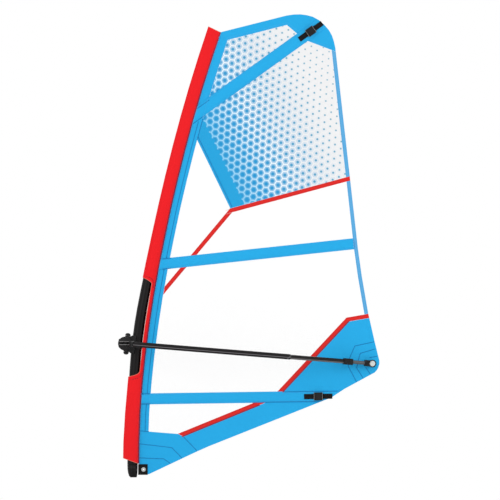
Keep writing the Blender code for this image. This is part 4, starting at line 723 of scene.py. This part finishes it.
# Closed strips through unbroken runs of pairs of places on one face of the cloth
def laidStrips(bm, rows, face, size):
    run = []
    for row in rows + [None]:
        if row:
            run.append(row)
            continue
        if len(run) > 1:
            grid = bmesh.ops.create_grid(bm, x_segments=len(run) - 1, y_segments=1, size=1.0)["verts"]
            for vert, place in zip(grid, [pair[side] for side in (0, 1) for pair in run]):
                vert.co = place - Vector((0, face * size["sunk"], 0))
            flat = list({near for vert in grid for near in vert.link_faces})
            raised = bmesh.ops.extrude_face_region(bm, geom=flat, use_keep_orig=True)["geom"]
            bmesh.ops.translate(bm, vec=(0, face * (size["proud"] + size["sunk"]), 0),
                                verts=[v for v in raised if isinstance(v, bmesh.types.BMVert)])
        run = []


# Points along an open line of (x, z) at even steps, with the line's direction at each
def steps(line, step):
    corners = [Vector(p) for p in line]
    result = []
    over = 0.0
    for a, b in zip(corners, corners[1:]):
        run = b - a
        length = run.length
        at = over
        while at < length:
            result.append((a + run * (at / length), run.normalized()))
            at += step
        over = at - length
    return result


# A zigzag of thread along each line, on both faces of the cloth
def thread(name, lines, look):
    bm = bmesh.new()
    side = zigzag[name] / 2
    for line in lines:
        for face in (-1, 1):
            rows = []
            for k, (point, run) in enumerate(steps(line, stitch["step"])):
                x, z = point + Vector((-run.y, run.x)) * (side if k % 2 else -side)
                hit = onCloth(x, z, face)
                half = Vector((run.x, 0, run.y)) * stitch["half"]
                rows.append((hit - half, hit + half) if hit else None)
            laidStrips(bm, rows, face, stitch)
    finished(name, bm, look, "rig", "thread")


# An open line of (x, z) moved to its left
def beside(line, distance):
    corners = [Vector(p) for p in line]
    result = []
    for i, point in enumerate(corners):
        first = (corners[i] - corners[i - 1]) if i else (corners[1] - corners[0])
        second = (corners[i + 1] - corners[i]) if i < len(corners) - 1 else first
        normals = [Vector((-d.y, d.x)).normalized() for d in (first, second)]
        middle = (normals[0] + normals[1]).normalized()
        moved = point + middle * (distance / max(middle.dot(normals[0]), 0.3))
        result.append((moved.x, moved.y))
    return result


# The two edges of a tape of one width along each line
def edgesBeside(lines, width):
    return [(beside(line, width / 2), beside(line, -width / 2)) for line in lines]


# Flat tapes between pairs of edges, on both faces of the cloth
def ribbon(name, tapes, look, size=tapeSize):
    bm = bmesh.new()
    for left, right in tapes:
        for face in (-1, 1):
            rows = []
            for i in range(len(left) - 1):
                count = max(1, math.ceil(math.dist(left[i], left[i + 1]) / size["step"]))
                for k in range(count + (i == len(left) - 2)):
                    ends = [(a[i][0] + (a[i + 1][0] - a[i][0]) * k / count,
                             a[i][1] + (a[i + 1][1] - a[i][1]) * k / count) for a in (left, right)]
                    hits = [onCloth(x, z, face) for x, z in ends]
                    rows.append(hits if None not in hits else None)
            laidStrips(bm, rows, face, size)
    return finished(name, bm, look, "rig", "box")


# The lines of the seams, as (x, z)
luffSeam = [(0.0185, 0.0200), (0.0193, 0.1231), (0.0228, 0.2261), (0.0306, 0.3287), (0.0412, 0.4302),
            (0.0545, 0.5316), (0.0700, 0.6339), (0.0885, 0.7373), (0.1093, 0.8405), (0.1310, 0.9436),
            (0.1551, 1.0463), (0.1808, 1.1490), (0.2082, 1.2516), (0.2383, 1.3539), (0.2705, 1.4561),
            (0.3049, 1.5583)]
leechEdge = [(0.8209, 0.5771), (0.7992, 0.7031), (0.7855, 0.8000), (0.7590, 1.0392), (0.7394, 1.2071),
             (0.7065, 1.5033)]
headEdge = [(0.3290, 1.5307), (0.5366, 1.5834), (0.5747, 1.5512), (0.6108, 1.5270), (0.6960, 1.4948)]
printEdge = [(0.3378, 0.9433), (0.2191, 1.1883)]
upperTape = [(0.3085, 0.9254), (0.7452, 1.0430)]
diagonalTape = [(0.1085, 0.6559), (0.3413, 0.9342)]
footTape = [(0.1663, 0.1495), (0.4393, 0.2608)]
clewTape = [(0.5163, 0.3033), (0.7490, 0.5525), (0.8208, 0.5649)]
upperTapeEnd = ([(0.7400, 1.0492), (0.7569, 1.0538)], [(0.7418, 1.0346), (0.7586, 1.0391)])
headJoin = [(0.2985, 1.5411), (0.3297, 1.5309)]
sleeveHeel = (0.0187, 0.0485)
topPocketLines = [[(0.2228, 1.1816), (0.2395, 1.2432), (0.2430, 1.2560)],
                  [(0.2232, 1.2912), (0.2653, 1.3209)], [(0.2085, 1.2378), (0.2450, 1.2640)]]
# The layers of cloth at the tack and the clew
tackLines = [[(0.0213, 0.1629), (0.0534, 0.1605)],
             [(0.1748, 0.1421), (0.2218, 0.0932)],
             [(0.0202, 0.1176), (0.1341, 0.1043), (0.1700, 0.0672)],
             [(0.0202, 0.0683), (0.1057, 0.0651), (0.1300, 0.0483)]]
clewLines = [[(0.8425, 0.4746), (0.7746, 0.4599), (0.7578, 0.4214), (0.7510, 0.3899), (0.7808, 0.3337)],
             [(0.8446, 0.4491), (0.7938, 0.4344), (0.7872, 0.4130), (0.7809, 0.3833), (0.8043, 0.3460)],
             [(0.8530, 0.4239), (0.8257, 0.4193)],
             [(0.8127, 0.3854), (0.8299, 0.3600)]]
# The heights at which the stitches along a seam show, between the pockets and tapes that cross it
luffBays = ((0.1620, 0.2560), (0.2940, 0.7290), (0.7670, 1.2457))
leechBays = ((0.5790, 1.0330), (1.0550, 1.5010))
diagonalBays = ((0.6600, 0.7360), (0.7840, 0.9300))
luffReach = {"aft": (0.1620, 1.5400), "fore": (0.0500, 1.5560)}
# How far to the left of its seam each row of stitches or tape runs
rowAt = {"luffDark": -0.0200, "luffAft": -0.0300, "luffFore": -0.0030, "printDark": -0.0080,
         "printPlain": -0.0025, "head": (0.0035, 0.0085), "leech": (0.0110, 0.0030), "tape": 0.0051,
         "sleeve": 0.0035, "sleeveRear": 0.0004, "tapeRear": -0.0082}
# How much of a line each end goes without stitches
bareEnd = {"dark": 0.0015, "upperTape": 0.0160, "footTape": 0.0040, "clewTape": 0.0020}


# The part of a rising line between two heights
def between(line, low, high):
    result = []
    for (x1, z1), (x2, z2) in zip(line, line[1:]):
        ends = [max(z1, low), min(z2, high)]
        if ends[0] < ends[1]:
            result += [(x1 + (x2 - x1) * (z - z1) / (z2 - z1), z) for z in (ends[1:] if result else ends)]
    return result


# A pocket's edges read dark where it lies over other blue cloth: from and to along the batten, and the side
pocketEdge = {"darkAt": 0.0175, "plainInside": 0.0040,
              "plainFrom": {"top": 0.0600, "middle": 0.0040, "lower": 0.0040},
              "dark": {"top": (), "middle": ((0.0030, 0.0330, 1), (0.0000, 0.0300, -1)),
                       "lower": ((0.0000, 0.0320, 1), (0.0000, 0.0320, -1), (0.5020, 0.6990, 1),
                                 (0.3900, 0.6250, -1))}}
darkLines = [*[between(beside(luffSeam, rowAt["luffDark"]), low, high) for low, high in luffBays],
             *topPocketLines, beside(printEdge, rowAt["printDark"]), *tackLines, *clewLines]
pocketPlain = []
for name, (start, end, width) in battens.items():
    side = battenSide(name)
    run = Vector((end[0] - start[0], 0.0, end[1] - start[1])).normalized()
    origin = Vector((start[0], 0.0, start[1]))
    for first, last, sign in pocketEdge["dark"][name]:
        away = side * (sign * pocketEdge["darkAt"])
        places = [origin + run * first + away, origin + run * last + away]
        darkLines.append([(place.x, place.z) for place in places])
    for sign in (-1, 1):
        away = side * (sign * (width / 2 - pocketEdge["plainInside"]))
        first = origin + away + run * pocketEdge["plainFrom"][name]
        pocketPlain.append([(first.x, first.z), (end[0] + away.x, end[1] + away.z)])

# Tapes first, then the threads on top of them
cloth = surfaces(panels)
seamTapes = ribbon("seamTapes", edgesBeside(darkLines, tapeWidth["seam"]), "seamTape")
# The upper tape runs on over the leech tape to its edge
tapeEnd = ribbon("upperTapeEnd", [upperTapeEnd], "tapeCloth", tapeEndSize)
# Panels that meet in one colour show no gap. Painted shade: a dark line along the rear edges of the sleeve
# and the lower tapes
coverTapes = ribbon("coverTapes", edgesBeside([headJoin], tapeWidth["cover"]), "panelCloth")
rearLine = beside([sleeveHeel] + luffSeam[1:], rowAt["sleeveRear"])
sleeveRear = ribbon("sleeveRear", edgesBeside([rearLine], tapeWidth["sleeveRear"]), "sleeveEdgeCloth")
rearLines = [beside(line, rowAt["tapeRear"]) for line in (footTape, clewTape[:2])]
tapeRear = ribbon("tapeRear", edgesBeside(rearLines, tapeWidth["tapeRear"]), "sleeveEdgeCloth")
cloth = surfaces(panels + [seamTapes, tapeEnd, coverTapes, sleeveRear, tapeRear])


# A line without its first and last stretch of a length
def shortened(line, less):
    first, last = [Vector(p) for p in line[:2]], [Vector(p) for p in line[-2:]]
    start = first[0] + (first[1] - first[0]).normalized() * less
    end = last[1] - (last[1] - last[0]).normalized() * less
    return [tuple(start), *line[1:-1], tuple(end)]


thread("seamsDark", [shortened(line, bareEnd["dark"]) for line in darkLines], "threadDarkBlue")
thread("seamsPocket", pocketPlain, "threadBlue")
plainLines = [between(beside(luffSeam, rowAt["luffAft"]), *luffReach["aft"]),
              between(beside(luffSeam, rowAt["luffFore"]), *luffReach["fore"]),
              *[beside(headEdge, away) for away in rowAt["head"]], beside(printEdge, rowAt["printPlain"])]
for away in rowAt["leech"]:
    plainLines += [between(beside(leechEdge, away), low, high) for low, high in leechBays]
thread("seamsBlue", plainLines, "threadBlue")
redLines = []
for name, line in (("upperTape", upperTape), ("footTape", footTape), ("clewTape", clewTape)):
    redLines += [shortened(beside(line, sign * rowAt["tape"]), bareEnd[name]) for sign in (-1, 1)]
for sign in (-1, 1):
    line = beside(diagonalTape, sign * rowAt["tape"])
    redLines += [between(line, low, high) for low, high in diagonalBays]
thread("seamsRed", redLines, "threadRed")
cutoutStitch = [[(-0.0205, 0.3397), (-0.0021, 0.3434), (0.0130, 0.3465), (0.0231, 0.3514), (0.0290, 0.3640),
                 (0.0312, 0.3707)],
                [(0.0700, 0.6640), (0.0715, 0.6803), (0.0684, 0.6897), (0.0590, 0.6983), (0.0465, 0.7038),
                 (0.0400, 0.7068)]]
ribbon("cutoutTape", edgesBeside(cutoutStitch, tapeWidth["cutout"]), "cutoutSeamTape")
sleeveLines = [beside(line, rowAt["sleeve"]) for line in (luffSeam[:4], luffSeam[7:])]
thread("seamsSleeve", sleeveLines + cutoutStitch, "threadRed")
print("seams sewn")

# Straps and buckles of the batten tensioners, on the round camber. Each buckle has a pale bar at both ends,
# a painted highlight on its end edges
buckleEdge = {"along": 0.0146, "size": (0.0012, 0.0006, 0.0274)}
for name in ("top", "lower"):
    strapNode = f"{name}_tensioner_strap"
    standIn(strapNode, laidOnCamber(merged(strapNode)), "webbing", "cloth")
    for part in ("buckle", "cam"):
        node = f"{name}_tensioner_{part}"
        low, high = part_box(node)
        middle = (low + high) / 2
        smooth, flat = roundCamber(middle.x, middle.z)
        partMesh = merged(node)
        bmesh.ops.translate(partMesh, vec=(0, smooth - flat, 0), verts=partMesh.verts)
        standIn(node, partMesh, "mouldedPlastic", "box")
        if part == "buckle":
            # Pale bars: painted highlights on the buckle's two end edges
            edges = bmesh.new()
            start, end, _ = battens[name]
            lean = math.atan2(end[1] - start[1], end[0] - start[0])
            for along in (-buckleEdge["along"], buckleEdge["along"]):
                bar = bmesh.ops.create_cube(edges, size=1.0)["verts"]
                bmesh.ops.scale(edges, vec=buckleEdge["size"], verts=bar)
                bmesh.ops.translate(edges, vec=(along, 0, 0), verts=bar)
            bmesh.ops.rotate(edges, cent=(0, 0, 0), matrix=Matrix.Rotation(-lean, 3, "Y"), verts=edges.verts)
            bmesh.ops.translate(edges, vec=(middle.x, low.y + smooth - flat, middle.z), verts=edges.verts)
            finished(f"{name}BuckleEdges", edges, "buckleEdge", nodeBody[node], "box")
print("tensioners made")

# Hard pieces: the model's shape, joined up, smooth shaded and with its own finish
hardLook = {"mast_lower_tube": "mastLaminate", "mast_upper_tube": "mastLaminate",
            "mast_ferrule": "mastLaminate", "mast_foot": "footPlastic", "mast_tip_plug": "footPlastic",
            "clew_toggle": "turnedSteel", "tack_eyelet": "eyeletSteel", "clew_eyelet": "mouldedPlastic",
            "boom_head": "mouldedPlastic", "clamp_band": "mouldedPlastic", "tension_pin": "mouldedPlastic",
            "clamp_lever": "mouldedPlastic"}
for name in ("port", "starboard"):
    hardLook.update({f"{name}_pivot_bolt": "blackenedSteel", f"{name}_hub": "hubPlastic",
                     f"{name}_arm": "armTube", f"{name}_grip": "gripFoam",
                     f"{name}_tail_tube": "anodisedTube", f"{name}_tail_clip": "mouldedPlastic",
                     f"{name}_tail_fitting": "mouldedPlastic", f"{name}_clip_lever": "mouldedPlastic"})
for node, look in hardLook.items():
    standIn(node, merged(node), look, "hard")
for node, hidden in cadNodes.items():
    hidden.data.materials.clear()
    hidden.data.materials.append(materials[hardLook.get(node, "mouldedPlastic")])
print("hard pieces made:", len(hardLook))

# Stage: a pale floor, soft lights, and a white background for the camera alone
stage = {"floorSize": 60.0, "floorDrop": 0.0006, "floorColour": (0.86, 0.86, 0.86, 1.0),
         "floorPatch": 3.0, "floorShade": 0.01, "sky": 0.73, "backdrop": 1.0, "aim": (0.4, 0.0, 0.8)}
floorMesh = bmesh.new()
bmesh.ops.create_grid(floorMesh, x_segments=1, y_segments=1, size=stage["floorSize"] / 2)
bmesh.ops.translate(floorMesh, vec=(0, 0, -stage["floorDrop"]), verts=floorMesh.verts)
floorData = bpy.data.meshes.new("floor")
floorMesh.to_mesh(floorData)
floorMesh.free()
floorGraph = Graph("floorPaint", stage["floorColour"], 0.7, specular=0.2)
floorPattern = floorGraph.noise(stage["floorPatch"])
floorGraph.colour(floorGraph.tint(stage["floorColour"], floorPattern, stage["floorShade"]))
floorData.materials.append(floorGraph.material)
floor = bpy.data.objects.new("floor", floorData)
bpy.context.scene.collection.objects.link(floor)

world = bpy.data.worlds.new("studio")
bpy.context.scene.world = world
world.use_nodes = True
sky = world.node_tree
sky.nodes.clear()
paths = sky.nodes.new("ShaderNodeLightPath")
soft, white = [sky.nodes.new("ShaderNodeBackground") for _ in range(2)]
for shade, strength in ((soft, stage["sky"]), (white, stage["backdrop"])):
    shade.inputs["Color"].default_value = (1.0, 1.0, 1.0, 1.0)
    shade.inputs["Strength"].default_value = strength
seen = [sky.nodes.new("ShaderNodeMath") for _ in range(2)]
for node in seen:
    node.operation = "MAXIMUM"
choice = sky.nodes.new("ShaderNodeMixShader")
output = sky.nodes.new("ShaderNodeOutputWorld")
for start, end in ((paths.outputs["Is Camera Ray"], seen[0].inputs[0]),
                   (paths.outputs["Is Transmission Ray"], seen[0].inputs[1]),
                   (seen[0].outputs[0], seen[1].inputs[0]),
                   (paths.outputs["Is Glossy Ray"], seen[1].inputs[1]),
                   (seen[1].outputs[0], choice.inputs[0]),
                   (soft.outputs[0], choice.inputs[1]),
                   (white.outputs[0], choice.inputs[2]),
                   (choice.outputs[0], output.inputs["Surface"])):
    sky.links.new(start, end)

# Lamps: place, size and power
lamps = {"key": ((-2.2, -3.6, 2.2), 2.6, 49.0), "fill": ((3.0, -3.0, 1.6), 2.6, 32.0),
         "back": ((0.6, 3.6, 2.6), 3.0, 50.0)}
for name, (place, size, power) in lamps.items():
    data = bpy.data.lights.new(name, "AREA")
    data.shape = "SQUARE"
    data.size = size
    data.energy = power
    lamp = bpy.data.objects.new(name, data)
    bpy.context.scene.collection.objects.link(lamp)
    lamp.location = place
    lamp.rotation_euler = (Vector(stage["aim"]) - Vector(place)).to_track_quat("-Z", "Y").to_euler()
bpy.context.scene.view_settings.view_transform = "Standard"
print("stage set")
